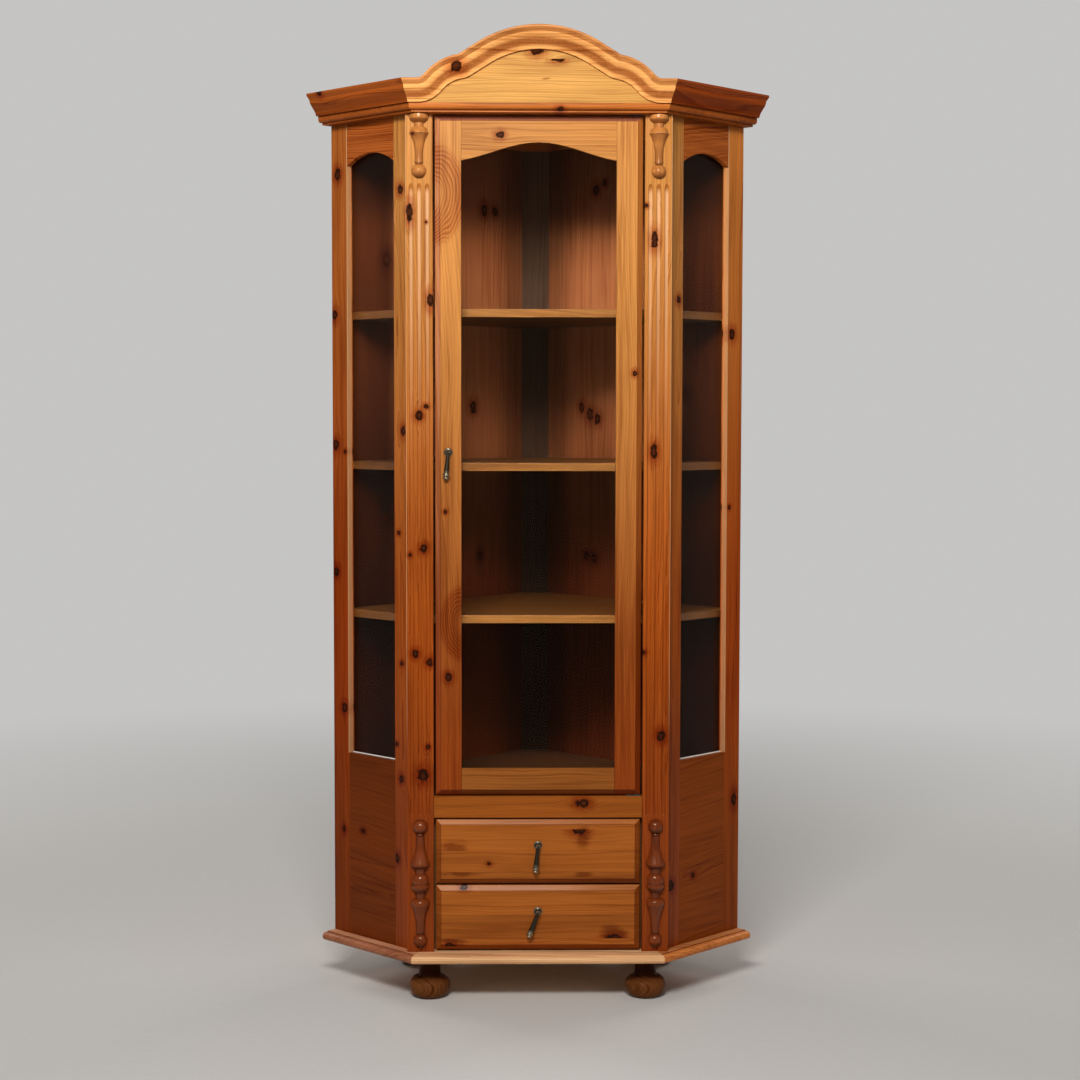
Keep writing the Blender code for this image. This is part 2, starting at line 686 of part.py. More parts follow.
def shelves():
    into_wall = WALL - GROOVE + FIT
    outline = floor_outline(SHELF_SETBACK, -POST_THICKNESS - FIT, into_wall, REAR_INNER - FIT)
    for name, height in zip(("lower", "middle", "upper"), SHELF_HEIGHTS):
        plan_piece(f"shelf_{name}", outline, height, height + SHELF_THICKNESS, HONEY_PINE)


def deck_and_rail():
    outline = floor_outline(POST_THICKNESS + FIT, -POST_THICKNESS - FIT, WALL + FIT, REAR_INNER - FIT)
    plan_piece("deck_board", outline, DECK_UNDERSIDE, DECK_TOP, INSIDE_PINE)
    half = OPENING_HALF_WIDTH - FIT
    box("mid_rail", (-half, FRONT_SETBACK, RAIL_BOTTOM), (half, POST_THICKNESS, DECK_TOP), HONEY_PINE)


def drawer_housing():
    """The cheek on each side of the drawers, and the runner on it that carries the upper one."""
    cheek = (CHEEK_INNER, CHEEK_INNER + CHEEK, BASE_TOP + FIT, DECK_UNDERSIDE - FIT)
    runner_top = UPPER_FRONT_BOTTOM + UPPER_BOX_RAISE - FIT
    runner = (CHEEK_INNER - RUNNER_WIDTH, CHEEK_INNER - FIT, runner_top - RUNNER_HEIGHT, runner_top)
    start = POST_THICKNESS + FIT
    end = back_y_at(CHEEK_INNER + CHEEK, WALL) - FIT
    for name, (near, far, low, high) in (("cheek", cheek), ("runner", runner)):
        for label, side in side_names():
            left, right = sorted((side * near, side * far))
            box(f"drawer_{name}_{label}", (left, start, low), (right, end, high), INSIDE_PINE)


def bevel_edges(piece, low, high, edges):
    """Planes off front edges of a door's or drawer's leaf, whose corners are low and high as (x, z)."""
    leaf = {
        "left": ((low[0] + EDGE_WIDTH, 0), (-1, 0)),
        "right": ((high[0] - EDGE_WIDTH, 0), (1, 0)),
        "bottom": ((0, low[1] + EDGE_WIDTH), (0, -1)),
        "top": ((0, high[1] - EDGE_WIDTH), (0, 1)),
    }
    for edge in edges:
        (x, z), (across, up) = leaf[edge]
        plane_cut(piece, (x, FRONT_SETBACK, z), (across * EDGE_DEPTH, -EDGE_WIDTH, up * EDGE_DEPTH))


def pull_places():
    """Where each pull's spindle meets the face: x and z."""
    return {
        "door": (-FRONT_HALF_WIDTH + STILE_WIDTH / 2, DOOR_BOTTOM + DOOR_HEIGHT / 2 + PULL_ABOVE_CENTRE),
        "upper": (0, UPPER_FRONT_BOTTOM + DRAWER_FRONT_HEIGHT / 2 + PULL_ABOVE_CENTRE),
        "lower": (0, LOWER_FRONT_BOTTOM + DRAWER_FRONT_HEIGHT / 2 + PULL_ABOVE_CENTRE),
    }


def spindle_hole(name):
    x, z = pull_places()[name]
    radius = SPINDLE_RADIUS + RUNNING_FIT
    return rod_mesh(f"spindle_hole_{name}", radius, (x, -FRONT_THICKNESS, z), (x, 2 * FRONT_BACK, z))


def door_arch():
    """The lower edge of the door's top rail, from right to left: a wave that is highest in the middle."""
    half = FRONT_HALF_WIDTH - STILE_WIDTH
    low = DOOR_TOP - DOOR_TOP_RAIL_END
    points = []
    steps = 16
    for i in range(steps + 1):
        share = 1 - 2 * i / steps
        wave = (1 + math.cos(math.pi * share)) / 2
        bow = 1 - share * share
        rise = DOOR_ARCH_WAVE * wave + (1 - DOOR_ARCH_WAVE) * bow
        points.append((share * half, low + DOOR_ARCH_RISE * rise))
    return points


def door():
    half, low, high = FRONT_HALF_WIDTH, DOOR_BOTTOM, DOOR_TOP
    leaf = ((-half, low), (half, high))
    inner = half - STILE_WIDTH
    pocket_back = 2 * FRONT_BACK
    pocket = (
        (-inner - REBATE, FRONT_SETBACK + GLASS_SETBACK, low + DOOR_BOTTOM_RAIL - REBATE),
        (inner + REBATE, pocket_back, high - DOOR_TOP_RAIL_END + DOOR_ARCH_RISE + REBATE),
    )
    pieces = []
    for label, side in side_names():
        near, far = sorted((side * inner, side * half))
        stile = box(f"door_stile_{label}", (near, FRONT_SETBACK, low), (far, FRONT_BACK, high), HONEY_PINE)
        pieces.append(stile)
        bevel_edges(stile, *leaf, (label, "bottom", "top"))
        boolean(stile, box_mesh(f"glass_pocket_{label}", *pocket))
        if side < 0:
            boolean(stile, spindle_hole("door"))
        else:
            for end, at, way in (("bottom", low, 1), ("top", high, -1)):
                start = (PIVOT_X, PIVOT_Y, at - way * PIVOT_LENGTH)
                stop = (PIVOT_X, PIVOT_Y, at + way * (PIVOT_LENGTH + FIT))
                boolean(stile, rod_mesh(f"pivot_hole_{end}", PIVOT_RADIUS + RUNNING_FIT, start, stop))
    across = inner - FIT
    rail_top = low + DOOR_BOTTOM_RAIL
    rail = box("door_bottom_rail", (-across, FRONT_SETBACK, low), (across, FRONT_BACK, rail_top), HONEY_PINE)
    pieces.append(rail)
    bevel_edges(rail, *leaf, ("bottom",))
    boolean(rail, box_mesh("glass_pocket_bottom", *pocket))
    arch = [(x * across / inner, z) for x, z in door_arch()]
    outline = [(-across, high), (across, high)] + arch
    mesh = outline_mesh("door_top_rail", outline, FRONT_SETBACK, FRONT_BACK, upright=True)
    rail = keep("door_top_rail", mesh, PALE_PINE)
    pieces.append(rail)
    bevel_edges(rail, *leaf, ("top",))
    boolean(rail, box_mesh("glass_pocket_top", *pocket))
    glass_front = pocket[0][1] + FIT
    pane = box(
        "door_glass",
        (pocket[0][0] + GLASS_PLAY, glass_front, pocket[0][2] + GLASS_PLAY),
        (pocket[1][0] - GLASS_PLAY, glass_front + GLASS, pocket[1][2] - GLASS_PLAY),
        CLEAR_GLASS,
    )
    carry("door_axis", (PIVOT_X, PIVOT_Y, DOOR_BOTTOM), pieces + [pane] + pull("door"))


def hinges_and_catch():
    """A pivot plate above and below the door's right edge, and a catch at its left corner."""
    for end, seat, way in (("bottom", DECK_TOP, 1), ("top", TOP_UNDERSIDE, -1)):
        face = seat + way * FIT
        inner = face + way * PIVOT_PLATE
        low, high = sorted((face, inner))
        right = PIVOT_X + PIVOT_INSET
        plate = box(
            f"pivot_hinge_{end}",
            (right - PIVOT_PLATE_LENGTH, PIVOT_Y - PIVOT_PLATE_WIDTH / 2, low),
            (right, PIVOT_Y + PIVOT_PLATE_WIDTH / 2, high),
            STEEL,
        )
        gap = DOOR_GAP_BELOW if way > 0 else DOOR_GAP_ABOVE
        tip = seat + way * (gap + PIVOT_LENGTH)
        start = (PIVOT_X, PIVOT_Y, (low + high) / 2)
        pin = rod_mesh(f"pivot_pin_{end}", PIVOT_RADIUS, start, (PIVOT_X, PIVOT_Y, tip))
        boolean(plate, pin, "UNION")
    right = -FRONT_HALF_WIDTH + STILE_WIDTH - REBATE - FIT
    front = FRONT_BACK + FIT
    low = (right - CATCH_WIDTH, front, TOP_UNDERSIDE - CATCH_DROP)
    box("door_catch", low, (right, front + CATCH_DEPTH, TOP_UNDERSIDE - FIT), STEEL)


def drawer(name, front_low, box_low):
    front_high = front_low + DRAWER_FRONT_HEIGHT
    half = FRONT_HALF_WIDTH
    low, high = (-half, FRONT_SETBACK, front_low), (half, FRONT_BACK, front_high)
    front = box(f"drawer_{name}_front", low, high, HONEY_PINE)
    bevel_edges(front, (-half, front_low), (half, front_high), ("left", "right", "bottom", "top"))
    boolean(front, spindle_hole(name))
    inner, outer = BOX_HALF_WIDTH - BOX_WALL, BOX_HALF_WIDTH
    half_outline = [(inner, BOX_START), (outer, BOX_START), (outer, BOX_BACK)]
    outline = half_outline + [(-x, y) for x, y in reversed(half_outline)]
    outline += [(-inner, BOX_BACK - BOX_WALL), (inner, BOX_BACK - BOX_WALL)]
    sides = plan_piece(f"drawer_{name}_box", outline, box_low, box_low + BOX_HEIGHT, INSIDE_PINE)
    bottom_low = box_low + BOX_BOTTOM_RAISE
    bottom_high = bottom_low + BOX_BOTTOM
    deep = inner + GROOVE
    groove = box_mesh(
        f"bottom_groove_{name}",
        (-deep, BOX_START - GROOVE, bottom_low - FIT),
        (deep, BOX_BACK - BOX_WALL + GROOVE, bottom_high + FIT),
    )
    boolean(sides, groove)
    bottom = box(
        f"drawer_{name}_bottom",
        (-deep + FIT, BOX_START, bottom_low),
        (deep - FIT, BOX_BACK - BOX_WALL + GROOVE - FIT, bottom_high),
        INSIDE_PINE,
    )
    carry(f"drawer_{name}_axis", (0, FRONT_SETBACK, front_low), [front, sides, bottom] + pull(name))


def centre_plan():
    """Moves everything so that Y = 0 is half-way between the crown's lip and the back."""
    for piece in CABINET.objects:
        if piece.parent is None:
            piece.location.y += (CROWN_LIP_OUT - REAR_OUTER) / 2


def crown_section(back_out):
    """The crown moulding's section as (out, up): an ogee, the slope to the lip, the lip and a flat back."""
    section = []
    steps = 9
    for i in range(steps + 1):
        share = i / steps
        swell = (1 - math.cos(math.pi * share)) / 2
        out = CROWN_FOOT_OUT + (CROWN_SWELL_OUT - CROWN_FOOT_OUT) * swell
        section.append((out, CROWN_SWELL_TOP * share))
    back = back_out + FIT
    section += [(CROWN_LIP_OUT, CROWN_HEIGHT - CROWN_LIP_THICKNESS), (CROWN_LIP_OUT, CROWN_HEIGHT)]
    section += [(back, CROWN_HEIGHT), (back, 0)]
    return section


def arch_path():
    """The lower edge of the arched moulding from left to right, as (x, z, slope)."""
    x, z = -ARCH_FOOT_HALF_WIDTH, TOP_SURFACE + FIT
    half = [(x, z, 0.0)]

    def turn_to(slope, radius, count):
        """Follows an arc to a new slope, hollow towards a steeper one and round towards a flatter one."""
        last_x, last_z, last = half[-1]
        way = 1 if slope > last else -1
        for i in range(1, count + 1):
            angle = last + (slope - last) * i / count
            across = way * radius * (math.sin(angle) - math.sin(last))
            up = way * radius * (math.cos(last) - math.cos(angle))
            half.append((last_x + across, last_z + up, angle))

    turn_to(ARCH_STEEP, ARCH_FOOT_RADIUS, 5)
    x, z, slope = half[-1]
    half.append((x + ARCH_STEEP_RUN * math.cos(slope), z + ARCH_STEEP_RUN * math.sin(slope), slope))
    turn_to(ARCH_SHOULDER, ARCH_SHOULDER_RADIUS, 5)
    turn_to(ARCH_SLOPE, ARCH_NECK_RADIUS, 3)
    x, z, slope = half[-1]
    run = -ARCH_TOP_RADIUS * math.sin(ARCH_SLOPE) - x
    half.append((x + run, z + run * math.tan(slope), slope))
    turn_to(0.0, ARCH_TOP_RADIUS, 7)
    return half + [(-x, z, -slope) for x, z, slope in reversed(half[:-1])]


def crown():
    section = crown_section(ARCH_BACK_OUT)
    path = arch_path()
    low = TOP_SURFACE + FIT
    rings = []
    for x, z, slope in path:
        rings.append([(x - up * math.sin(slope), -out, z + up * math.cos(slope)) for out, up in section])
    for side, at in ((-1, 0), (1, len(path) + 1)):
        ring = []
        for out, up in section:
            x, y = front_corner(side, out, FIT / 2)
            ring.append((x, y, low + up))
        rings.insert(at, ring)
    lofted("crown_arch", rings, HONEY_PINE)
    section = crown_section(CROWN_BACK_OUT)
    for label, side in side_names():
        mitre, end = [], []
        for out, up in section:
            x, y = front_corner(side, out, -FIT / 2)
            mitre.append((x, y, low + up))
            x, y = side_point(side, SIDE_LENGTH, out)
            end.append((x, y, low + up))
        lofted(f"crown_{label}", [mitre, end], DARK_PINE)


def pediment():
    """The board behind the arched moulding."""
    half = front_corner(1, CROWN_BACK_OUT)[0] - FIT
    low = TOP_SURFACE + FIT
    top = [
        (x - PEDIMENT_BEHIND_CROWN * math.sin(slope), z + PEDIMENT_BEHIND_CROWN * math.cos(slope))
        for x, z, slope in arch_path()
    ]
    outline = [(-half, low), (-half, low + PEDIMENT_BEHIND_CROWN)] + top
    outline += [(half, low + PEDIMENT_BEHIND_CROWN), (half, low)]
    front = -ARCH_BACK_OUT
    mesh = outline_mesh("pediment_board", outline, front, front + PEDIMENT_THICKNESS, upright=True)
    keep("pediment_board", mesh, PALE_PINE)


def pull(name):
    """A rosette, a ball on a spindle that turns in the front, and a drop that swings from a pin in the ball.

    Gives back what its door or drawer has to carry.
    """
    x, z = pull_places()[name]
    centre = (x, FRONT_SETBACK - PULL_STANDOFF, z)
    tilt = bpy.data.objects.new(f"pull_{name}_axis", None)
    tilt.location = centre
    tilt.rotation_euler.y = PULL_TILTS[name]
    CABINET.objects.link(tilt)
    hole = SPINDLE_RADIUS + RUNNING_FIT
    back = -PULL_STANDOFF + FIT
    size = (ROSETTE_RADIUS - hole, ROSETTE_THICKNESS - ROSETTE_RIM)
    dome = arc((hole, back + ROSETTE_RIM), size, math.pi / 2, 0, 5)
    profile = [(hole, back)] + dome + [(ROSETTE_RADIUS, back), (hole, back)]
    mesh = turned_mesh(f"pull_{name}_rosette", profile, 20, "Y")
    rosette = keep(f"pull_{name}_rosette", mesh, AGED_BRASS, centre)
    shade_round(rosette)

    nut_front = -PULL_STANDOFF - FRONT_THICKNESS - FIT
    neck = math.asin(SPINDLE_RADIUS / BALL_RADIUS)
    profile = [(0, BALL_RADIUS)] + arc((0, 0), BALL_RADIUS, math.radians(60), neck - math.pi / 2, 7)
    nut_back = nut_front - NUT_THICKNESS
    profile += [(SPINDLE_RADIUS, nut_front), (NUT_RADIUS, nut_front), (NUT_RADIUS, nut_back), (0, nut_back)]
    post = keep(f"pull_{name}_post", turned_mesh(f"pull_{name}_post", profile, 16, "Y"), AGED_BRASS)
    post.parent = tilt
    slot = EYE_THICKNESS / 2 + FIT
    back_of_slot = EYE_RADIUS + FIT
    deep = 2 * BALL_RADIUS
    boolean(post, box_mesh(f"slot_{name}", (-slot, -deep, -deep), (slot, back_of_slot, back_of_slot)))
    pin_half = PIN_SPAN * BALL_RADIUS
    boolean(post, rod_mesh(f"pin_{name}", PIN_RADIUS, (-pin_half, 0, 0), (pin_half, 0, 0), 12), "UNION")
    shade_round(post)

    start = BALL_RADIUS + DROP_GAP
    collar = DROP_LENGTH - DROP_COLLAR_ABOVE_END
    ease = DROP_EASE
    knob = DROP_COLLAR_ABOVE_END - DROP_KNOB_ABOVE_END
    profile = [
        (0, -start), (DROP_TOP_RADIUS - ease / 5, -start), (DROP_TOP_RADIUS, -start - ease),
        (DROP_FOOT_RADIUS, -collar), (DROP_COLLAR_RADIUS, -collar - 1.5 * ease),
        (DROP_COLLAR_RADIUS, -collar - 3.5 * ease), (DROP_KNOB_RADIUS - ease, -collar - 5.5 * ease),
        (DROP_KNOB_RADIUS, -collar - knob), (DROP_KNOB_RADIUS - 1.5 * ease, -DROP_LENGTH), (0, -DROP_LENGTH),
    ]
    hang = keep(f"pull_{name}_drop", turned_mesh(f"pull_{name}_drop", profile, 14), AGED_BRASS)
    hang.parent = tilt
    across = EYE_THICKNESS / 2
    shank = box_mesh(f"shank_{name}", (-across, -1.5 * ease, -start - ease), (across, 1.5 * ease, 0))
    boolean(hang, shank, "UNION")
    boolean(hang, rod_mesh(f"eye_{name}", EYE_RADIUS, (-across, 0, 0), (across, 0, 0), 14), "UNION")
    eye_hole = PIN_RADIUS + RUNNING_FIT
    boolean(hang, rod_mesh(f"eye_hole_{name}", eye_hole, (-2 * across, 0, 0), (2 * across, 0, 0), 12))
    shade_round(hang)
    return [tilt, rosette]


def build():
    base_board()
    feet()
    front_posts()
    outer_posts()
    side_pieces()
    back_walls()
    shelves()
    deck_and_rail()
    drawer_housing()
    top_board()
    crown()
    pediment()
    turnings()
    door()
    hinges_and_catch()
    drawer("upper", UPPER_FRONT_BOTTOM, UPPER_FRONT_BOTTOM + UPPER_BOX_RAISE)
    drawer("lower", LOWER_FRONT_BOTTOM, BASE_TOP + FIT)
    centre_plan()


build()
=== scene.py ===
"""Looks of a corner display cabinet in lacquered pine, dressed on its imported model.

Metres, +Z up, the front faces -Y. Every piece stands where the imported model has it.
"""

import json
import math
import random

import bmesh
import bpy
from mathutils import Matrix, Vector

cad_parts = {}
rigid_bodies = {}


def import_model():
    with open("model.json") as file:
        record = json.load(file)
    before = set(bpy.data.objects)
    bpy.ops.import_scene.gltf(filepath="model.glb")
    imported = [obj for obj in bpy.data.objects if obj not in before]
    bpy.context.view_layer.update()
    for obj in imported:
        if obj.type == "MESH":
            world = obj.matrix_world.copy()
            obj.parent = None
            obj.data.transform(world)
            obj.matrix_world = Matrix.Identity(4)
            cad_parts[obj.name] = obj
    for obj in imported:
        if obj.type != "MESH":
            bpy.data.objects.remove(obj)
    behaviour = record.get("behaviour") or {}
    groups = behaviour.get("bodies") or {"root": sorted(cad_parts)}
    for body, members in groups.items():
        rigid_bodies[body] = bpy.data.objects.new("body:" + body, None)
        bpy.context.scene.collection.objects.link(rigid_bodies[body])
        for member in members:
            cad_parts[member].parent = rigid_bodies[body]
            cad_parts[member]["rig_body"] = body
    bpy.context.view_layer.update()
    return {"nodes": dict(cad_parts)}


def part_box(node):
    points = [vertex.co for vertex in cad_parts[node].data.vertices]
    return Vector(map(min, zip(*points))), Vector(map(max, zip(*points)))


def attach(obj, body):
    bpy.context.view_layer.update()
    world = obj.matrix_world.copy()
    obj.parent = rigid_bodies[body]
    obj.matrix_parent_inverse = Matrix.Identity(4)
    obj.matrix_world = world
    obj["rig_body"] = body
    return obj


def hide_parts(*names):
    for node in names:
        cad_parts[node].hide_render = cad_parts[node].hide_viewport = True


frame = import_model()


# Viewpoint
# A level photograph from 4.2 m in front of the door and 1.25 m up, turned a hair to the right and
# a few degrees down, in a square picture.
def placed(name, data):
    """A new object in the scene."""
    made = bpy.data.objects.new(name, data)
    bpy.context.scene.collection.objects.link(made)
    return made


VIEW_YAW, VIEW_PITCH, VIEW_ROLL = (math.radians(angle) for angle in (0.8446, 3.5833, 0.0880))
ahead = Vector((
    math.sin(VIEW_YAW) * math.cos(VIEW_PITCH),
    math.cos(VIEW_YAW) * math.cos(VIEW_PITCH),
    -math.sin(VIEW_PITCH),
))
level_right = Vector((math.cos(VIEW_YAW), -math.sin(VIEW_YAW), 0))
right = math.cos(VIEW_ROLL) * level_right + math.sin(VIEW_ROLL) * level_right.cross(ahead)
lens = bpy.data.cameras.new("viewpoint")
lens.lens, lens.sensor_width = 66.90, 36.0
lens.clip_end = 100.0
viewpoint = placed("viewpoint", lens)
viewpoint.matrix_world = (
    Matrix.Translation((-0.05918, -4.50706, 1.25324))
    @ Matrix((right, right.cross(ahead), -ahead)).transposed().to_4x4()
)
bpy.context.scene.camera = viewpoint
bpy.context.scene.view_settings.view_transform = "Standard"


# Studio
# A plain pale floor that runs out into an equally pale surround, one large soft lamp high in front,
# which leaves the feet dimmer than the crown, and weaker ones round the sides and back.
class Value:
    """The output of a node. Arithmetic on it adds Math nodes to the same finish."""

    def __init__(self, finish, socket):
        self.finish, self.socket = finish, socket

    def maths(self, operation, *others):
        return self.finish.node("Math", {"operation": operation}, (self, *others))

    def __add__(self, other):
        return self.maths("ADD", other)

    __radd__ = __add__

    def __sub__(self, other):
        return self.maths("SUBTRACT", other)

    def __rsub__(self, other):
        return self.finish.node("Math", {"operation": "SUBTRACT"}, (other, self))

    def __mul__(self, other):
        return self.maths("MULTIPLY", other)

    __rmul__ = __mul__

    def __truediv__(self, other):
        return self.maths("DIVIDE", other)

    def __pow__(self, other):
        return self.maths("POWER", other)

    def __gt__(self, other):
        return self.maths("GREATER_THAN", other)

    def __abs__(self):
        return self.maths("ABSOLUTE")

    def rise(self, start, end):
        """Goes smoothly from 0 to 1 while the value goes from start to end."""
        settings = {"interpolation_type": "SMOOTHSTEP"}
        return self.finish.node("MapRange", settings, {"Value": self, "From Min": start, "From Max": end})


class Finish:
    """The nodes of a material or of the surroundings."""

    def __init__(self, owner):
        owner.use_nodes = True
        self.owner, self.tree = owner, owner.node_tree
        self.tree.nodes.clear()

    def node(self, kind, settings=None, sockets=(), output=0):
        """Adds a node: its settings first, then the values or links of its sockets, by order or name."""
        added = self.tree.nodes.new("ShaderNode" + kind)
        for setting, value in (settings or {}).items():
            setattr(added, setting, value)
        named = sockets.items() if isinstance(sockets, dict) else enumerate(sockets)
        for key, value in named:
            socket = added.inputs[key]
            if isinstance(value, Value):
                self.tree.links.new(value.socket, socket)
            elif isinstance(value, (tuple, list, Vector)) and socket.type == "RGBA":
                socket.default_value = (*value, 1.0)
            else:
                socket.default_value = value
        return Value(self, added.outputs[output] if len(added.outputs) else None)

    def mix(self, share, first, second, blend="MIX"):
        """A colour between two colours."""
        settings = {"data_type": "RGBA", "blend_type": blend}
        return self.node("Mix", settings, {0: share, 6: first, 7: second}, output=2)

    def vector(self, operation, *sockets):
        return self.node("VectorMath", {"operation": operation}, sockets)

    def measured(self, offset, way, operation="DOT_PRODUCT"):
        """The one number that a vector operation gives."""
        return self.node("VectorMath", {"operation": operation}, (offset, way), output=1)

    def length(self, offset):
        return self.measured(offset, (0, 0, 0), "LENGTH")

    def axis(self, point, number):
        """A point's X, Y or Z, by its number."""
        return self.node("SeparateXYZ", {}, (point,), output=number)

    def scaled(self, colour, brightness):
        return self.node("VectorMath", {"operation": "SCALE"}, {0: colour, 3: brightness})

    def place(self):
        """Where a point is, in the cabinet's own metres."""
        return self.node("TexCoord", output=3)

    def normal(self):
        return self.node("NewGeometry", output=1)

    def noise(self, place, scales, shift=0.0, detail=1.0):
        """Smooth noise, finer along an axis the larger its scale; a shift takes it elsewhere."""
        moved = self.vector("MULTIPLY_ADD", place, scales, (shift, 1.7 * shift, 0.6 * shift))
        return self.node("TexNoise", {}, {"Vector": moved, "Scale": 1.0, "Detail": detail})

    def surface(self, **sockets):
        """Closes a material with one shader, whose sockets are given by name."""
        named = {name.replace("_", " "): value for name, value in sockets.items()}
        self.node("OutputMaterial", {}, (self.node("BsdfPrincipled", {}, named),))


def seen_directly(finish):
    """1 for rays from the camera, also through glass."""
    camera_ray = finish.node("LightPath")
    through_glass = finish.node("LightPath", output="Is Transmission Ray")
    return camera_ray.maths("MAXIMUM", through_glass)


SURROUND = (0.56, 0.555, 0.545)
surround = Finish(bpy.context.scene.world or bpy.data.worlds.new("surround"))
bpy.context.scene.world = surround.owner
soft = surround.node("Background", {}, {"Color": (1.0, 0.985, 0.96), "Strength": 0.14})
pale = surround.node("Background", {}, {"Color": SURROUND, "Strength": 1.0})
surround.node("OutputWorld", {}, (surround.node("MixShader", {}, (seen_directly(surround), soft, pale)),))

floor_paint = Finish(bpy.data.materials.new("pale_floor"))
where = floor_paint.place()
distance = floor_paint.length(where)
speckle = floor_paint.noise(where, (60, 60, 60), detail=3)
paint = floor_paint.mix(speckle, (0.60, 0.595, 0.585), (0.64, 0.635, 0.625))
matt = floor_paint.node("BsdfPrincipled", {}, {
    "Base Color": paint, "Roughness": 0.8, "Specular IOR Level": 0.2,
})
glow = floor_paint.node("Emission", {}, {"Color": SURROUND, "Strength": 1.0})
far_off = distance.rise(1.2, 4.5) * seen_directly(floor_paint)
floor_paint.node("OutputMaterial", {}, (floor_paint.node("MixShader", {}, (far_off, matt, glow)),))

floor_mesh = bpy.data.meshes.new("floor")
shape = bmesh.new()
bmesh.ops.create_circle(shape, cap_ends=True, radius=30.0, segments=96)
shape.to_mesh(floor_mesh)
shape.free()
floor_mesh.materials.append(floor_paint.owner)
floor = placed("floor", floor_mesh)


def lamp(name, place, aim, width, height, power):
    """A soft lamp, whose power is in watts."""
    light = bpy.data.lights.new(name, "AREA")
    light.shape, light.size, light.size_y = "RECTANGLE", width, height
    light.energy, light.color = power, (1.0, 0.97, 0.93)
    hung = placed(name, light)
    hung.location = place
    hung.rotation_euler = (Vector(aim) - Vector(place)).to_track_quat("-Z", "Y").to_euler()


lamp("high_lamp", (-0.35, -2.75, 2.62), (0.0, -0.2, 1.55), 1.1, 0.6, 83.0)
lamp("left_lamp", (-2.9, -2.7, 2.1), (0.0, 0.0, 1.2), 1.4, 1.8, 6.0)
lamp("right_lamp", (2.9, -2.7, 2.1), (0.0, 0.0, 1.2), 1.4, 1.8, 8.0)
lamp("rear_left_lamp", (-2.8, 2.6, 2.6), (0.0, 0.0, 1.1), 1.6, 1.8, 50.0)
lamp("rear_right_lamp", (2.8, 2.6, 2.6), (0.0, 0.0, 1.1), 1.6, 1.8, 50.0)


# Base board
# One glued pine board under the whole plan, moulded to a half-round nose round the front and the
# sides and sawn off square along the two backs. It is a light honey, with painted shade on the canted
# sides and their nose and a painted shade line along the step behind the nose.
SIDE_ANGLE = math.radians(45.0)
SIDE_COS, SIDE_SIN = math.cos(SIDE_ANGLE), math.sin(SIDE_ANGLE)
FRONT_Y = -0.270383
CORNER_HALF_WIDTH, SIDE_LENGTH = 0.255, 0.277
SIDES = (("left", -1), ("right", 1))


def on_side(side, along, out):
    """Plan point of a side (-1 left, 1 right): along from its front corner, out from its face."""
    across = CORNER_HALF_WIDTH + along * SIDE_COS + out * SIDE_SIN
    return Vector((side * across, FRONT_Y + along * SIDE_SIN - out * SIDE_COS, 0))


def front_corner(side, out, trim=0.0):
    """Where a moulding out from the front meets the one out from a side."""
    return Vector((side * (CORNER_HALF_WIDTH + out * math.tan(SIDE_ANGLE / 2) - trim), FRONT_Y - out, 0))


def along_side(side):
    return Vector((side * SIDE_COS, SIDE_SIN, 0))


def arc(centre, radii, start, end, count):
    """Points on part of an ellipse, with its angles in degrees."""
    turns = (math.radians(start + (end - start) * i / (count - 1)) for i in range(count))
    return [(centre[0] + radii[0] * math.cos(a), centre[1] + radii[1] * math.sin(a)) for a in turns]


def closed_mesh(name, build, soften=35.0):
    """A mesh filled by a function, shaded round except across sharp edges."""
    shape = bmesh.new()
    build(shape)
    bmesh.ops.recalc_face_normals(shape, faces=shape.faces)
    mesh = bpy.data.meshes.new(name)
    shape.to_mesh(mesh)
    shape.free()
    mesh.shade_smooth()
    mesh.set_sharp_from_angle(angle=math.radians(soften))
    return mesh


def lofted(name, rings, soften=35.0):
    """A solid through rings of matching points."""
    def build(shape):
        rows = [[shape.verts.new(point) for point in ring] for ring in rings]
        for before, after in zip(rows, rows[1:]):
            for i in range(len(before)):
                j = (i + 1) % len(before)
                shape.faces.new((before[i], before[j], after[j], after[i]))
        shape.faces.new(rows[0])
        shape.faces.new(rows[-1])
    return closed_mesh(name, build, soften)


def stand_in(node, mesh, finish):
    """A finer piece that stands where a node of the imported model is, and moves with the same body."""
    mesh.materials.clear()
    mesh.materials.append(finish)
    piece = placed(f"{node}_piece", mesh)
    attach(piece, frame["nodes"][node]["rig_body"])
    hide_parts(node)
    return piece


LEVEL_GRAIN = ((1, 0, 0), (0, 0, 1))
UPRIGHT_GRAIN = ((0, 0, 1), (1, 0, 0))
LYING_GRAIN = ((1, 0, 0), (0, 1, 0))
INWARD_GRAIN = ((0, 1, 0), (0, 0, 1))
# Painted shade: the heights between which the wood darkens downwards, for light falling off.
DOWNWARD_SHADE_FROM, DOWNWARD_SHADE_TO = 1.85, 0.75


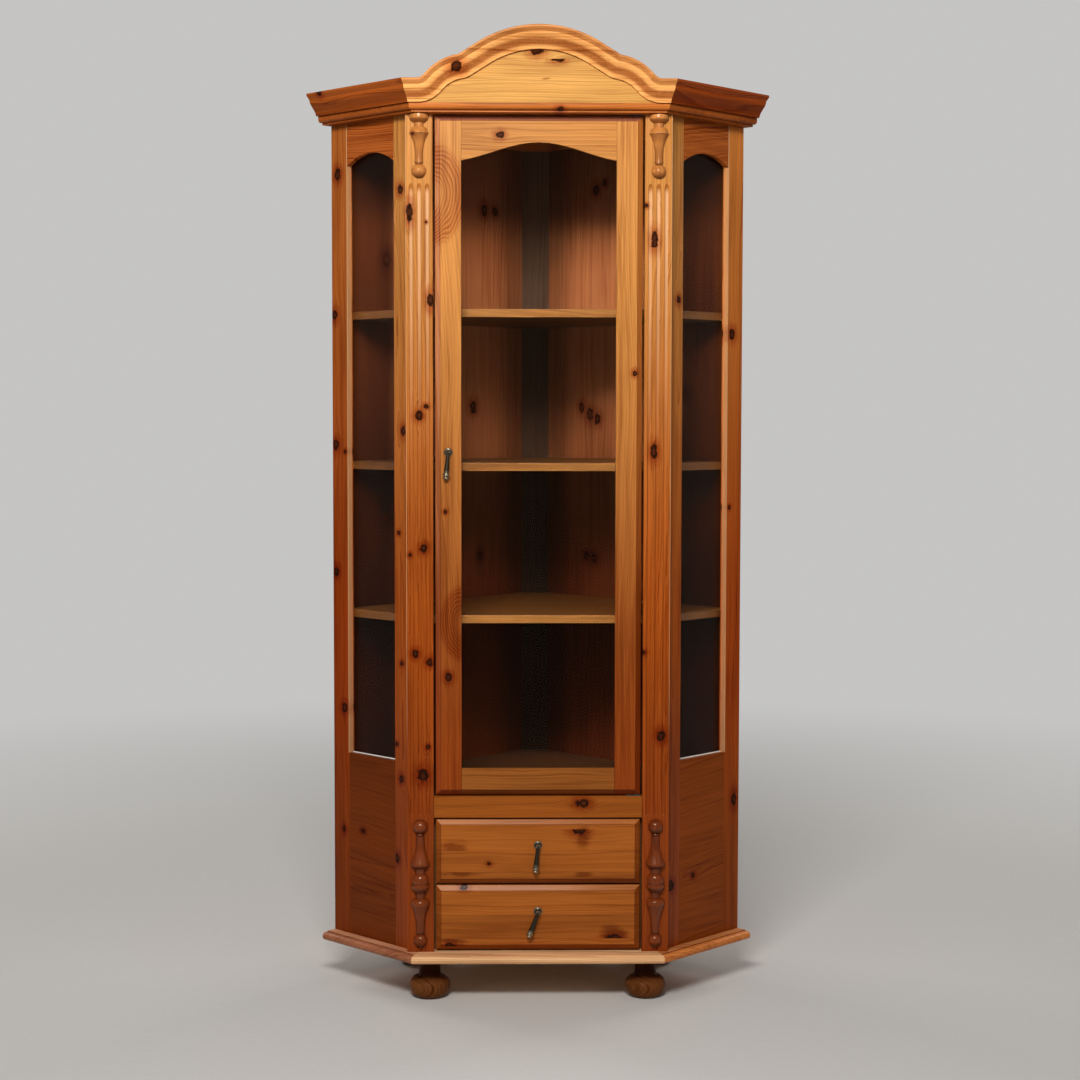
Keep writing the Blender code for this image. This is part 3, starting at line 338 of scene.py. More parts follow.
class Pine(Finish):
    """Lacquered pine: growth rings round a pith line, fine fibres, and knots that the grain bends round.

    The middle is a point of the board's face; along is the grain's direction and across lies in the face.
    Knots are (along, across, radius, stretch) from that point, and joints are where glued strips meet; a
    fifth value, (across, way), cuts a knot off there. Stains are (along, across, length, height) and may be
    cut off too. Swirls are (along, across, length, height, lines) of grain that runs round a lost knot.
    Painted shade makes the wood darker by a tint from one height down to the other, for light falling off.
    """

    def __init__(self, name, middle, along, across, tone, seed=0, pith=None, lean=None, ring=0.0046,
                 knots=(), joints=(), more_knots=(), stains=(), swirls=(), contrast=0.85, wavy=1.0,
                 fine=1.0, downward_shade=None, downward_shade_from=DOWNWARD_SHADE_FROM, downward_shade_to=DOWNWARD_SHADE_TO, lacquer=0.05, shine=0.12):
        super().__init__(bpy.data.materials.new(name))
        chance = random.Random(seed)
        self.seed, self.lacquer, self.shine = 10.0 * seed, lacquer, shine
        along, across = Vector(along), Vector(across)
        pith = pith or (chance.choice((-1, 1)) * chance.uniform(0.04, 0.09), chance.uniform(0.03, 0.06))
        lean = lean or (chance.uniform(-0.02, 0.02), chance.uniform(-0.05, 0.05))
        offset = self.vector("SUBTRACT", self.place(), middle)
        self.u, self.v, self.w = (self.measured(offset, way) for way in (along, across, along.cross(across)))

        nearest, pulled = None, 0.0
        planes = [(self.v, knots)] + [(self.measured(offset, way), others) for way, others in more_knots]
        for sideways, listed in planes:
            plane = self.node("CombineXYZ", {}, (self.u, sideways))
            for at, aside, radius, stretch, *edge in listed:
                away = self.around(plane, at, aside, radius * stretch, radius)
                square = self.measured(away, away)
                long_away = self.vector("MULTIPLY", away, (0.2, 1, 0))
                push = (self.measured(away, long_away) * -0.15).maths("EXPONENT")
                pulled = pulled + self.measured(away, (0, radius, 0)) * push
                for limit, way in edge:
                    square = square + (way * (sideways - limit) > 0.0) * 90.0
                nearest = square if nearest is None else nearest.maths("MINIMUM", square)

        v = self.v - pulled if nearest else self.v
        strip = 0.0
        for joint in joints:
            strip = strip + (self.v > joint)
        if joints:
            self.luck = self.node("TexWhiteNoise", {"noise_dimensions": "1D"}, {"W": strip + self.seed})
            v = v + (self.luck - 0.5) * 0.21
        self.grain = self.node("CombineXYZ", {}, (self.u, v, self.w))
        sway = (self.noise(self.grain, (2.0, 6, 6), self.seed) - 0.5) * 0.050 * wavy
        ripple = (self.noise(self.grain, (11, 60, 60), self.seed + 3, 2) - 0.5) * 0.0050 * wavy
        a = v - self.u * lean[0] - pith[0] + sway
        b = self.w - self.u * lean[1] - pith[1]
        reach = (a * a + b * b) ** 0.5 + ripple
        years = {"W": reach * 75 + self.seed, "Detail": 1.0}
        band = self.node("TexNoise", {"noise_dimensions": "1D"}, years)
        rings = reach / ring + band * 1.6
        phase = rings.maths("FRACT")
        chosen = self.node("TexWhiteNoise", {"noise_dimensions": "1D"}, {"W": rings.maths("FLOOR")})
        self.late = phase ** 2.6 * phase.rise(1.0, 0.90) * (chosen * 1.1 + 0.35)

        self.fibre = 0.5 + (self.noise(self.grain, (14, 800, 800), self.seed + 5, 1) - 0.5) * fine
        self.blotch = self.noise(self.grain, (2.5, 10, 10), self.seed + 7, 2)
        streak = self.noise(self.grain, (5, 130, 130), self.seed + 11, 2)
        brightness = 1.0 + (self.fibre - 0.5) * 0.26 + (band - 0.5) * 0.30 + (self.blotch - 0.5) * 0.6
        brightness = brightness + (streak - 0.5) * 0.5
        if joints:
            brightness = brightness + (self.luck - 0.5) * 0.20
        early_wood = tuple(part * more for part, more in zip(tone, (1.10, 1.12, 1.15)))
        late_wood = tuple(part * less for part, less in zip(tone, (0.58, 0.40, 0.25)))
        self.colour = self.scaled(self.mix(self.late * contrast, early_wood, late_wood), brightness)
        self.darken((streak * 0.5 + self.blotch * 0.5).rise(0.50, 0.36) * 0.55, (0.80, 0.62, 0.45))
        # Painted shade: darker downwards, standing in for light falling off towards the feet.
        if downward_shade:
            self.darken(self.axis(self.place(), 2).rise(downward_shade_from, downward_shade_to), downward_shade)
        for joint in joints:
            gap = abs(self.v - joint).rise(0.0009, 0.0003)
            self.darken(gap * 0.45, (0.50, 0.40, 0.32))
        face = self.node("CombineXYZ", {}, (self.u, self.v))
        for at, aside, length, height, *edge in stains:
            reached = self.length(self.around(face, at, aside, length, height))
            cloud = reached + (self.noise(face, (35, 110, 110), self.seed + 13, 2) - 0.5) * 1.5
            share = cloud.rise(1.15, 0.25) * 0.75
            for limit, way in edge:
                share = share * (way * (self.v - limit)).rise(0.0004, -0.0004)
            self.darken(share, (0.42, 0.25, 0.18))
        for at, aside, length, height, lines in swirls:
            reached = self.length(self.around(face, at, aside, length, height))
            wobble = (self.noise(face, (11, 26, 26), self.seed + 15, 1) - 0.5) * 0.34
            line = ((reached + wobble) * lines).maths("FRACT") ** 1.3
            near = reached.rise(1.12, 0.85) * reached.rise(0.10, 0.45)
            self.darken(near * line, (0.48, 0.26, 0.13))
            self.darken(near * reached * 0.7, (0.90, 0.66, 0.52))
        self.nearest = nearest

    def knotted(self):
        """Draws the knots, over every tint that the wood has by then."""
        wander = self.noise(self.grain, (110, 170, 170), self.seed + 9, 3) - 0.5
        ragged = self.nearest ** 0.5 + wander * 2.0
        self.darken(ragged.rise(4.2, 1.0) * 0.9, (0.62, 0.32, 0.20))
        rings_in_knot = (ragged * 2.1).maths("FRACT")
        heart = self.mix(rings_in_knot, (0.085, 0.017, 0.004), (0.030, 0.006, 0.002))
        self.knot = ragged.rise(1.45, 1.05)
        self.colour = self.mix(self.knot * 0.95, self.colour, heart)
        self.darken(ragged.rise(0.30, 0.90) * ragged.rise(1.55, 1.15) * 0.85, (0.16, 0.10, 0.08))

    def around(self, point, at, aside, length, height):
        """A place in a plane from a centre there, in parts of a length and a height."""
        shrink = (1 / length, 1 / height, 0)
        shift = (-at * shrink[0], -aside * shrink[1], 0)
        return self.vector("MULTIPLY_ADD", point, shrink, shift)

    def from_axis(self):
        """How far a point is from the grain's axis through the middle."""
        return self.length(self.node("CombineXYZ", {}, (self.v, self.w)))

    def darken(self, share, tint):
        self.colour = self.mix(share, self.colour, tint, "MULTIPLY")

    def lacquered(self, polish=0.34):
        """Closes the material, rougher the higher the polish value, and gives it back."""
        relief = self.late * 0.6 + self.fibre * 0.4
        bump = self.node("Bump", {}, {"Strength": 0.30, "Distance": 0.00022, "Height": relief})
        rough = polish + (self.blotch - 0.5) * 0.16
        if self.nearest:
            self.knotted()
            rough = rough + self.knot * 0.35
        self.surface(
            Base_Color=self.colour, Roughness=rough, Normal=bump, Specular_IOR_Level=self.shine,
            Specular_Tint=(1.0, 0.75, 0.50), Coat_Weight=self.lacquer, Coat_Roughness=0.12,
        )
        return self.owner


BASE_LOW, BASE_THICKNESS, HAIR_GAP = 0.085, 0.019, 0.0003
BASE_FLAT_OUT, BASE_NOSE_OUT, BASE_STEP = 0.0215, 0.036, 0.0015
BASE_TONE = (0.78, 0.44, 0.215)
# Painted shade of the canted sides: a tint for the flat and one for the nose, for each side.
BASE_SIDE_SHADE = {-1: ((0.75, 0.61, 0.67), (0.60, 0.47, 0.42)), 1: ((0.66, 0.44, 0.30), (1.10, 0.92, 0.60))}
SIDES_END = -SIDE_LENGTH * SIDE_SIN - 0.005
REAR_CORNER = Vector((0.037, 0.339387, 0))


def moulded_board(name, edge, low):
    """A board over the whole plan, whose edge profile of (out, up) runs round the front and sides."""
    rings = []
    for out, up in edge:
        half = [front_corner(1, out), on_side(1, SIDE_LENGTH, out), REAR_CORNER]
        outline = half + [Vector((-point.x, point.y, 0)) for point in reversed(half)]
        rings.append([point + Vector((0, 0, low + up)) for point in outline])
    return lofted(name, rings, 25.0)


nose = (BASE_THICKNESS - BASE_STEP) / 2
base_edge = arc((BASE_NOSE_OUT - nose, nose), (nose, nose), -90, 90, 25)
base_edge += [(BASE_FLAT_OUT, BASE_THICKNESS - BASE_STEP), (BASE_FLAT_OUT, BASE_THICKNESS)]


def on_board_sides(wood):
    """1 on the parts of a board over the whole plan that belong to the canted sides."""
    past_corner = abs(wood.u) - wood.w * math.tan(SIDE_ANGLE / 2) - CORNER_HALF_WIDTH
    return past_corner.rise(-0.0002, 0.0004) * wood.w.rise(SIDES_END - 0.01, SIDES_END)


base_pine = Pine("base_pine", (0.0, FRONT_Y, BASE_LOW), *LEVEL_GRAIN, BASE_TONE, seed=3, ring=0.0052)
on_sides = on_board_sides(base_pine)
base_out = (abs(base_pine.u) - CORNER_HALF_WIDTH) * SIDE_SIN + base_pine.w * SIDE_COS
base_out = base_out.maths("MAXIMUM", base_pine.w)
on_nose = base_out.rise(BASE_FLAT_OUT, BASE_FLAT_OUT + 0.001)
# Painted shade on the canted sides, on their flat and on their nose.
for side, (flat_shade, nose_shade) in BASE_SIDE_SHADE.items():
    on_this_side = on_sides * (base_pine.u * side > 0.0)
    base_pine.darken(on_this_side, flat_shade)
    base_pine.darken(on_this_side * on_nose, nose_shade)
# Painted shade line along the step between flat and nose, deeper on the sides.
step_shade_line = abs(base_out - BASE_FLAT_OUT).rise(0.0012, 0.0004)
base_pine.darken(step_shade_line * (0.25 + on_sides * 0.5), (0.32, 0.20, 0.13))
stand_in("bottom_board", moulded_board("base", base_edge, BASE_LOW), base_pine.lacquered())


# Feet
# Five turned pine buns with a waisted neck, dowelled under the base board. They are unlacquered,
# with upright grain, with painted shade in the waist and a painted shadow of the board over their tops.
FOOT_RADIUS, FOOT_NECK, FOOT_HEAD = 0.044, 0.024, 0.028
FOOT_TONE = (0.135, 0.045, 0.0125)


def turned(name, profile, place, steps=64, half=False, onto=None):
    """A profile of (radius, height), top first, turned about Z; half of it if it is split at its back."""
    start = Matrix.Translation(place) @ (onto or Matrix())
    span = math.pi if half else 2 * math.pi

    def build(shape):
        rows = []
        for radius, height in profile:
            if radius < 1e-6:
                rows.append([shape.verts.new(start @ Vector((0, 0, height)))])
                continue
            turns = [math.pi + span * i / steps for i in range(steps + (1 if half else 0))]
            ring = [(radius * math.cos(a), radius * math.sin(a), height) for a in turns]
            rows.append([shape.verts.new(start @ Vector(point)) for point in ring])
        for above, below in zip(rows, rows[1:]):
            for i in range(steps):
                corners = [above[i % len(above)], above[(i + 1) % len(above)],
                           below[(i + 1) % len(below)], below[i % len(below)]]
                kept = list(dict.fromkeys(corners))
                if len(kept) > 2:
                    shape.faces.new(kept)
        if half:
            rim = [edge for edge in shape.edges if edge.is_boundary]
            bmesh.ops.contextual_create(shape, geom=rim)
    return closed_mesh(name, build, 30.0)


foot_waist = 0.54 * BASE_LOW
foot_middle = 0.31 * BASE_LOW
foot_bulge = FOOT_RADIUS - FOOT_NECK
foot_top = BASE_LOW - HAIR_GAP
foot_profile = [(0, foot_top), (FOOT_HEAD - 0.001, foot_top), (FOOT_HEAD, foot_top - 0.001)]
foot_profile += [(FOOT_HEAD, 0.945 * BASE_LOW), (FOOT_HEAD - 0.001, 0.925 * BASE_LOW)]
foot_profile += arc((FOOT_HEAD - 0.001, 0.735 * BASE_LOW), (0.0045, 0.012), 110, 180, 9)
foot_profile += [(FOOT_NECK, foot_waist + 0.0015), (FOOT_NECK + 0.001, foot_waist)]
foot_profile += arc((FOOT_NECK, foot_middle), (foot_bulge, foot_waist - foot_middle), 84, 0, 18)
foot_profile += arc((FOOT_NECK, foot_middle), (foot_bulge, foot_middle), 0, -86, 18)[1:]
foot_profile += [(FOOT_NECK, 0), (0, 0)]
for number, foot in enumerate(("front_left", "front_right", "middle_left", "middle_right", "rear")):
    low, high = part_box(f"foot_{foot}")
    centre = Vector(((low.x + high.x) / 2, (low.y + high.y) / 2, 0))
    wood = Pine(
        f"foot_{foot}_pine", centre, *UPRIGHT_GRAIN, FOOT_TONE, seed=20 + number, pith=(0.03, 0.02),
        lacquer=0.0, shine=0.05,
    )
    # Painted shade in the waist.
    wood.darken(wood.from_axis().rise(0.031, 0.024) * 0.6, (0.45, 0.38, 0.35))
    # Painted shadow of the base board over the top of the foot.
    wood.darken(wood.u.rise(0.030, 0.058), (0.30, 0.22, 0.20))
    stand_in(f"foot_{foot}", turned(f"foot_{foot}", foot_profile, centre), wood.lacquered())


# Front posts
# Each is one upright timber: a fluted face 57 mm wide in front, and behind its overhanging edge the
# stile of the canted side. Corners are eased, and three round-nosed flutes are cut between the turnings.
POST_LOW, POST_HIGH = 0.1043, 1.8787
OPENING_HALF_WIDTH, POST_FACE, POST_THICKNESS, POST_SIDE_WIDTH = 0.2225, 0.057, 0.024, 0.074
FLUTE_PITCH, FLUTE_WIDTH, FLUTE_DEPTH = 0.017, 0.0095, 0.0035
FLUTE_HEAD_GAP, FLUTE_FOOT_GAP = 0.0105, 0.006
TURNING_RADIUS = 0.0205
POST_CENTRE = OPENING_HALF_WIDTH + POST_FACE / 2
POST_TONE = (0.51, 0.210, 0.046)
# Painted shade: the tint by which the posts darken towards their feet.
DOWNWARD_SHADE = (0.70, 0.35, 0.175)
WINDOW_END, SILL, RAIL_ARCH_TOP, GLASS_SETBACK, REBATE = 0.225, 0.508, 1.8115, 0.012, 0.010


def extruded(name, outline, low, high, soften=25.0):
    """A plan outline carried straight up."""
    return lofted(name, [[Vector((*point[:2], z)) for point in outline] for z in (low, high)], soften)


def eased(outline, radius, count=4):
    """An outline with its corners rounded off."""
    points = [Vector(point[:2]) for point in outline]
    rounded = []
    for before, corner, after in zip(points[-1:] + points[:-1], points, points[1:] + points[:1]):
        to_before, to_after = (before - corner).normalized(), (after - corner).normalized()
        for i in range(count + 1):
            t = i / count
            rounded.append(corner + to_before * radius * (1 - t) ** 2 + to_after * radius * t ** 2)
    return rounded


def cut(piece, cutters):
    """Takes the cutters' meshes off a piece's mesh."""
    for mesh in cutters:
        tool = placed("cutter", mesh)
        modifier = piece.modifiers.new("cut", "BOOLEAN")
        modifier.operation, modifier.solver, modifier.object = "DIFFERENCE", "EXACT", tool
        bpy.context.view_layer.update()
        made = bpy.data.meshes.new_from_object(piece.evaluated_get(bpy.context.evaluated_depsgraph_get()))
        piece.modifiers.clear()
        piece.data = made
        bpy.data.objects.remove(tool)
    piece.data.shade_smooth()
    piece.data.set_sharp_from_angle(angle=math.radians(28))


def window_rebate(side):
    """The room for the glass behind the frame of a side."""
    ends = (POST_SIDE_WIDTH - REBATE, WINDOW_END + REBATE)
    corners = [on_side(side, along, -GLASS_SETBACK) for along in ends]
    corners += [on_side(side, along, -POST_THICKNESS - 0.01) for along in reversed(ends)]
    return extruded("rebate", corners, SILL - REBATE, RAIL_ARCH_TOP + REBATE)


def shares(count):
    """Even steps from 0 to 1."""
    return [i / (count - 1) for i in range(count)]


def stroke(drop, start, end, hollow=0.0, count=14):
    """Part of a turning from one radius to another, hollowed by a share of their difference."""
    change, hollowed = end - start, hollow * abs(end - start)
    return drop, [(s, start + change * s - hollowed * math.sin(math.pi * s)) for s in shares(count)]


def bead(drop, waist, belly, count=15):
    """Part of a turning that swells and comes back."""
    swell = [(0.02 + 0.96 * s, waist + (belly - waist) * math.sin(math.pi * s)) for s in shares(count)]
    return drop, [(0, waist)] + swell + [(1, waist)]


def ball(radius, neck, count=21):
    """Part of a turning that is a ball, cut off where it meets its neck."""
    lean = math.asin(neck / radius)
    drop = 2 * radius * math.cos(lean)
    turns = [lean + (math.pi - 2 * lean) * i / (count - 1) for i in range(count)]
    return drop, [((math.cos(lean) - math.cos(a)) * radius / drop, radius * math.sin(a)) for a in turns]


# Each part is (length, [(share of that length, radius), ...]), in parts of the largest radius, downwards.
upper_strokes = [
    (0.24, [(0, 0.95), (0.15, 0.99), (1, 1.0)]),
    stroke(0.60, 0.99, 0.55, -0.35),
    (0.48, [(0.06, 0.49), (1, 0.49)]),
    (0.46, [(0, 0.70), (0.12, 0.75), (0.3, 0.81), (0.6, 0.89), (1, 0.95)]),
    (0.18, [(0.15, 0.98), (0.85, 0.98)]),
    stroke(1.50, 0.95, 0.47, 0.20),
    stroke(1.40, 0.46, 0.44, 1.5),
    (0.16, [(0.1, 0.37), (0.9, 0.37)]),
    ball(0.74, 0.27),
]
lower_strokes = [
    ball(0.78, 0.30),
    bead(0.26, 0.36, 0.42),
    stroke(2.92, 0.44, 1.0, 0.34, 20),
    (0.46, [(0.1, 1.0), (0.22, 0.985), (0.35, 0.95), (0.52, 0.885), (0.7, 0.80), (1, 0.60)]),
    (0.63, [(0.04, 0.49), (1, 0.47)]),
    (0.87, [(0, 0.60), (0.07, 0.67), (0.15, 0.73), (0.27, 0.79), (0.4, 0.84), (0.6, 0.885), (0.8, 0.90),
            (1, 0.88)]),
    (0.20, [(0.1, 0.80), (0.9, 0.80)]),
    (0.79, [(0, 0.93), (0.12, 0.96), (0.3, 0.97), (0.45, 0.935), (0.6, 0.87), (0.8, 0.755), (1, 0.62)]),
    (0.68, [(0.05, 0.44), (1, 0.44)]),
    (0.84, [(0, 0.62), (0.08, 0.74), (0.15, 0.82), (0.27, 0.91), (0.4, 0.965), (0.55, 0.98), (0.7, 0.97),
            (0.88, 0.94), (1, 0.90)]),
    stroke(2.72, 0.90, 0.44, 0.32, 20),
    (0.20, [(0.1, 0.36), (0.9, 0.36)]),
    ball(0.71, 0.27),
    (0.28, [(0, 0.27), (1, 0.22)]),
]
TOP_BOARD_LOW, BASE_TOP = 1.879, 0.104
UPPER_TURNING_TOP = TOP_BOARD_LOW - 0.0015
LOWER_TURNING_TOP = BASE_TOP + 0.007 + TURNING_RADIUS * sum(drop for drop, _ in lower_strokes)
upper_turning_foot = UPPER_TURNING_TOP - TURNING_RADIUS * sum(drop for drop, _ in upper_strokes)
flutes_high, flutes_low = upper_turning_foot - FLUTE_HEAD_GAP, LOWER_TURNING_TOP + FLUTE_FOOT_GAP


def flute(x):
    """A round-nosed bar that leaves one flute."""
    half = FLUTE_WIDTH / 2
    radius = (half * half + FLUTE_DEPTH * FLUTE_DEPTH) / (2 * FLUTE_DEPTH)
    run_out = 2.4 * radius
    profile = [(0, flutes_high)] + arc((0, flutes_high - run_out), (radius, run_out), 84, 0, 12)
    profile += arc((0, flutes_low + run_out), (radius, run_out), 0, -84, 12) + [(0, flutes_low)]
    return turned("flute", profile, (x, FRONT_Y + FLUTE_DEPTH - radius, 0), 40)


POST_KNOTS = {
    -1: [(0.675, -0.0200, 0.0048, 3.0), (0.655, 0.015, 0.0018, 1.2), (0.492, 0.023, 0.0050, 2.2),
         (0.250, -0.001, 0.0055, 1.2), (0.269, 0.014, 0.0035, 1.0), (-0.030, 0.0085, 0.0055, 1.1),
         (-0.044, -0.021, 0.0030, 1.0), (-0.254, -0.010, 0.0055, 1.1), (-0.272, 0.020, 0.0050, 1.2),
         (-0.454, 0.016, 0.0035, 1.0), (-0.515, 0.006, 0.0085, 1.2)],
    1: [(0.6185, -0.008, 0.0055, 2.2), (0.175, -0.007, 0.0055, 1.9), (-0.430, 0.011, 0.0070, 1.2),
        (-0.252, -0.027, 0.0035, 1.0), (0.690, -0.026, 0.0030, 1.0)],
}
STILE_KNOTS = {
    -1: [(0.726, 0.0523, 0.0060, 1.2), (0.2175, 0.0449, 0.0060, 1.3), (0.000, 0.060, 0.0035, 1.0),
         (-0.279, 0.0513, 0.0040, 1.0), (-0.455, 0.068, 0.0035, 1.0), (-0.529, 0.0533, 0.0055, 1.2),
         (-0.704, 0.0680, 0.0055, 1.3)],
    1: [(0.496, 0.0593, 0.0045, 1.4), (-0.761, 0.045, 0.0065, 1.3)],
}
for label, side in SIDES:
    outer = OPENING_HALF_WIDTH + POST_FACE
    overhang = (outer - CORNER_HALF_WIDTH) * SIDE_SIN / SIDE_COS
    inner_x = CORNER_HALF_WIDTH + (POST_THICKNESS * SIDE_COS - POST_THICKNESS) / SIDE_SIN
    post_outline = [
        (side * OPENING_HALF_WIDTH, FRONT_Y), (side * outer, FRONT_Y), (side * outer, FRONT_Y + overhang),
        on_side(side, POST_SIDE_WIDTH, 0), on_side(side, POST_SIDE_WIDTH, -POST_THICKNESS),
        (side * inner_x, FRONT_Y + POST_THICKNESS), (side * OPENING_HALF_WIDTH, FRONT_Y + POST_THICKNESS),
    ]
    middle = Vector((side * POST_CENTRE, FRONT_Y, 1.0))
    to_corner = (middle - on_side(side, 0, 0)).dot(along_side(side))
    beside = [(at, aside - to_corner, radius, stretch) for at, aside, radius, stretch in STILE_KNOTS[side]]
    wood = Pine(
        f"front_post_{label}_pine", middle, *UPRIGHT_GRAIN, POST_TONE, seed=31 + side, ring=0.0042,
        pith=(side * 0.055, 0.030), lean=(side * 0.012, 0.015), knots=POST_KNOTS[side],
        more_knots=[(along_side(side), beside)], downward_shade=DOWNWARD_SHADE,
    )
    depth = wood.measured(wood.vector("SUBTRACT", wood.place(), middle), (0, 1, 0))
    in_face = abs(wood.v).rise(0.0278, 0.0268)
    flute_end = wood.u.rise(flutes_high - middle.z - 0.024, flutes_high - middle.z - 0.006)
    # Painted shade at the upper ends of the flutes.
    wood.darken(depth.rise(0.0003, 0.0012) * in_face * flute_end, (0.80, 0.69, 0.55))
    # Painted highlight down the hollows of the flutes.
    flute_highlight = depth.rise(0.0008, 0.0030) * in_face * wood.u.rise(0.10, 0.80) * (1 - flute_end) * 0.55
    wood.colour = wood.mix(flute_highlight, wood.colour, (0.90, 0.58, 0.34))
    # Painted highlight along the outer arris of the post's face, above its lower third.
    arris = (wood.v * side).rise(0.0268, 0.0282) * depth.rise(0.0016, 0.0004)
    wear_and_highlight = arris * wood.u.rise(-0.50, -0.35) * 0.75
    wood.colour = wood.mix(wear_and_highlight, wood.colour, (0.76, 0.45, 0.24))
    # Painted shade: the post darkens further towards its foot.
    wood.darken((0.0 - wood.u).rise(0.15, 0.70), (0.66, 0.56, 0.62))
    timber = extruded(f"front_post_{label}", eased(post_outline, 0.0011), POST_LOW, POST_HIGH)
    post = stand_in(f"front_post_{label}", timber, wood.lacquered())
    flutes = [flute(side * POST_CENTRE + step * FLUTE_PITCH) for step in (-1, 0, 1)]
    cut(post, flutes + [window_rebate(side)])


# Turnings
# Spindles turned in one piece and split down the middle, so that each pair is a mirror pair; their
# flat backs are glued to the posts, above and below the flutes.
TURNINGS = {
    "upper": (UPPER_TURNING_TOP, upper_strokes, (0.50, 0.190, 0.046), 43, 0.20),
    "lower": (LOWER_TURNING_TOP, lower_strokes, (0.185, 0.033, 0.0052), 40, 0.36),
}
for end, (top, strokes, tone, seed, shine) in TURNINGS.items():
    height, outline = top, [(0, top)]
    for drop, shape_of in strokes:
        length = drop * TURNING_RADIUS
        outline += [(radius * TURNING_RADIUS, height - length * share) for share, radius in shape_of]
        height -= length
    outline.append((0, height))
    for label, side in SIDES:
        axis = Vector((side * POST_CENTRE, FRONT_Y - HAIR_GAP, 0))
        knots = [(0.0236, -0.0124, 0.0022, 1.0)] if (end, side) == ("upper", -1) else []
        wood = Pine(
            f"turning_{end}_{label}_pine", axis + Vector((0, 0, (top + height) / 2)), *UPRIGHT_GRAIN, tone,
            seed=seed + side, ring=0.0036, pith=(0.018, 0.012), knots=knots, shine=shine, lacquer=0.2,
            contrast=0.6,
        )
        # Painted shade in the necks.
        wood.darken(wood.from_axis().rise(0.0125, 0.0065) * 0.7, (0.40, 0.32, 0.28))
        # Painted shade along the edges of the flat back, against the post.
        wood.darken(wood.w.rise(-0.0060, -0.0010) * 0.8, (0.36, 0.27, 0.24))
        # Painted shade on the faces that look down.
        turned_up = wood.axis(wood.normal(), 2)
        wood.darken(turned_up.rise(-0.05, -0.70) * 0.8, (0.42, 0.34, 0.32))
        mesh = turned(f"turning_{end}_{label}", outline, axis, 40, half=True)
        stand_in(f"turning_{end}_{label}", mesh, wood.lacquered(0.30))


# Canted sides
# Each side is a frame of its own behind the front post: an outer post, a low panel glued up from
# level boards and an arched rail over the window. Its pine is toned darker than the front by painted
# shade, the left side more than the right, and has no gloss coat.
# Painted shade: outer posts of the canted sides toned darker than the front, the left more.
SIDE_SHADED_TONE = {-1: (0.385, 0.106, 0.0175), 1: (0.50, 0.160, 0.0275)}
SIDE_POLISH = {"shine": 0.08, "lacquer": 0.0}
OUTER_KNOTS = {
    -1: [(0.7727, 0.256, 0.0070, 1.2), (0.4699, 0.2680, 0.0065, 1.3), (0.1852, 0.2660, 0.0070, 1.3),
         (0.1711, 0.235, 0.0035, 1.0), (-0.0922, 0.2660, 0.0065, 1.2), (-0.393, 0.240, 0.0060, 1.2),
         (-0.665, 0.244, 0.0045, 1.2)],
    1: [(0.4287, 0.2414, 0.0070, 1.2), (-0.5997, 0.2600, 0.0060, 2.0), (0.05, 0.236, 0.0035, 1.0)],
}
# Painted shade: panels of the canted sides toned dark, the left more than the right.
PANEL_SHADED_TONE = {-1: (0.148, 0.028, 0.0030), 1: (0.218, 0.045, 0.0050)}
PANEL_JOINTS = {-1: (0.2055, 0.2725, 0.3728), 1: (0.1942, 0.3121, 0.4228)}


def dress(node, finish, ease=0.0008):
    """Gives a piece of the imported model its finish, and eases its edges."""
    piece = frame["nodes"][node]
    piece.data.materials.clear()
    piece.data.materials.append(finish)
    if ease:
        weld = piece.modifiers.new("closed", "WELD")
        weld.merge_threshold = 0.00001
        easing = piece.modifiers.new("eased", "BEVEL")
        easing.width, easing.segments, easing.limit_method = ease, 2, "ANGLE"
        easing.angle_limit = math.radians(30)
        easing.use_clamp_overlap = True
        easing.harden_normals = True
    return piece


for label, side in SIDES:
    outer_middle = on_side(side, 0, 0) + Vector((0, 0, 1.0))
    wood = Pine(
        f"outer_post_{label}_pine", outer_middle, (0, 0, 1), along_side(side), SIDE_SHADED_TONE[side],
        seed=50 + side, pith=(0.32, 0.04), lean=(0.01, 0.02), knots=OUTER_KNOTS[side], downward_shade=DOWNWARD_SHADE,
        **SIDE_POLISH,
    )
    # Painted highlight along the window's reveal, above the sill.
    reveal = abs(wood.v - (WINDOW_END + 0.0012)).rise(0.0018, 0.0008)
    above_sill = wood.u - (SILL - outer_middle.z)
    beside_window = above_sill.rise(-0.0005, 0.0005)
    wood.colour = wood.mix(reveal * beside_window * 0.75, wood.colour, (0.62, 0.36, 0.17))
    wood.darken((0.0 - wood.u).rise(0.30, 0.75), (0.72, 0.90, 1.05))
    dress(f"outer_post_{label}", wood.lacquered())

    panel_middle = on_side(side, (POST_SIDE_WIDTH + WINDOW_END) / 2, 0)
    wood = Pine(
        f"side_panel_{label}_pine", panel_middle, along_side(side), (0, 0, 1), PANEL_SHADED_TONE[side],
        seed=60 + side, pith=(0.30, 0.025), lean=(0.10, 0.02), joints=PANEL_JOINTS[side],
        knots=[(0.03, 0.34, 0.004, 1.2)] if side < 0 else [(-0.03, 0.25, 0.004, 1.2)], **SIDE_POLISH,
    )
    dress(f"side_panel_{label}", wood.lacquered())

    wood = Pine(
        f"side_top_rail_{label}_pine", panel_middle + Vector((0, 0, 1.84)), along_side(side), (0, 0, 1),
        (0.37, 0.092, 0.0150), seed=64 + side, pith=(0.06, 0.03), lean=(0.08, 0.03), ring=0.0075,
        contrast=1.7, wavy=1.6, **SIDE_POLISH,
    )
    dress(f"side_top_rail_{label}", wood.lacquered(), 0.0006)


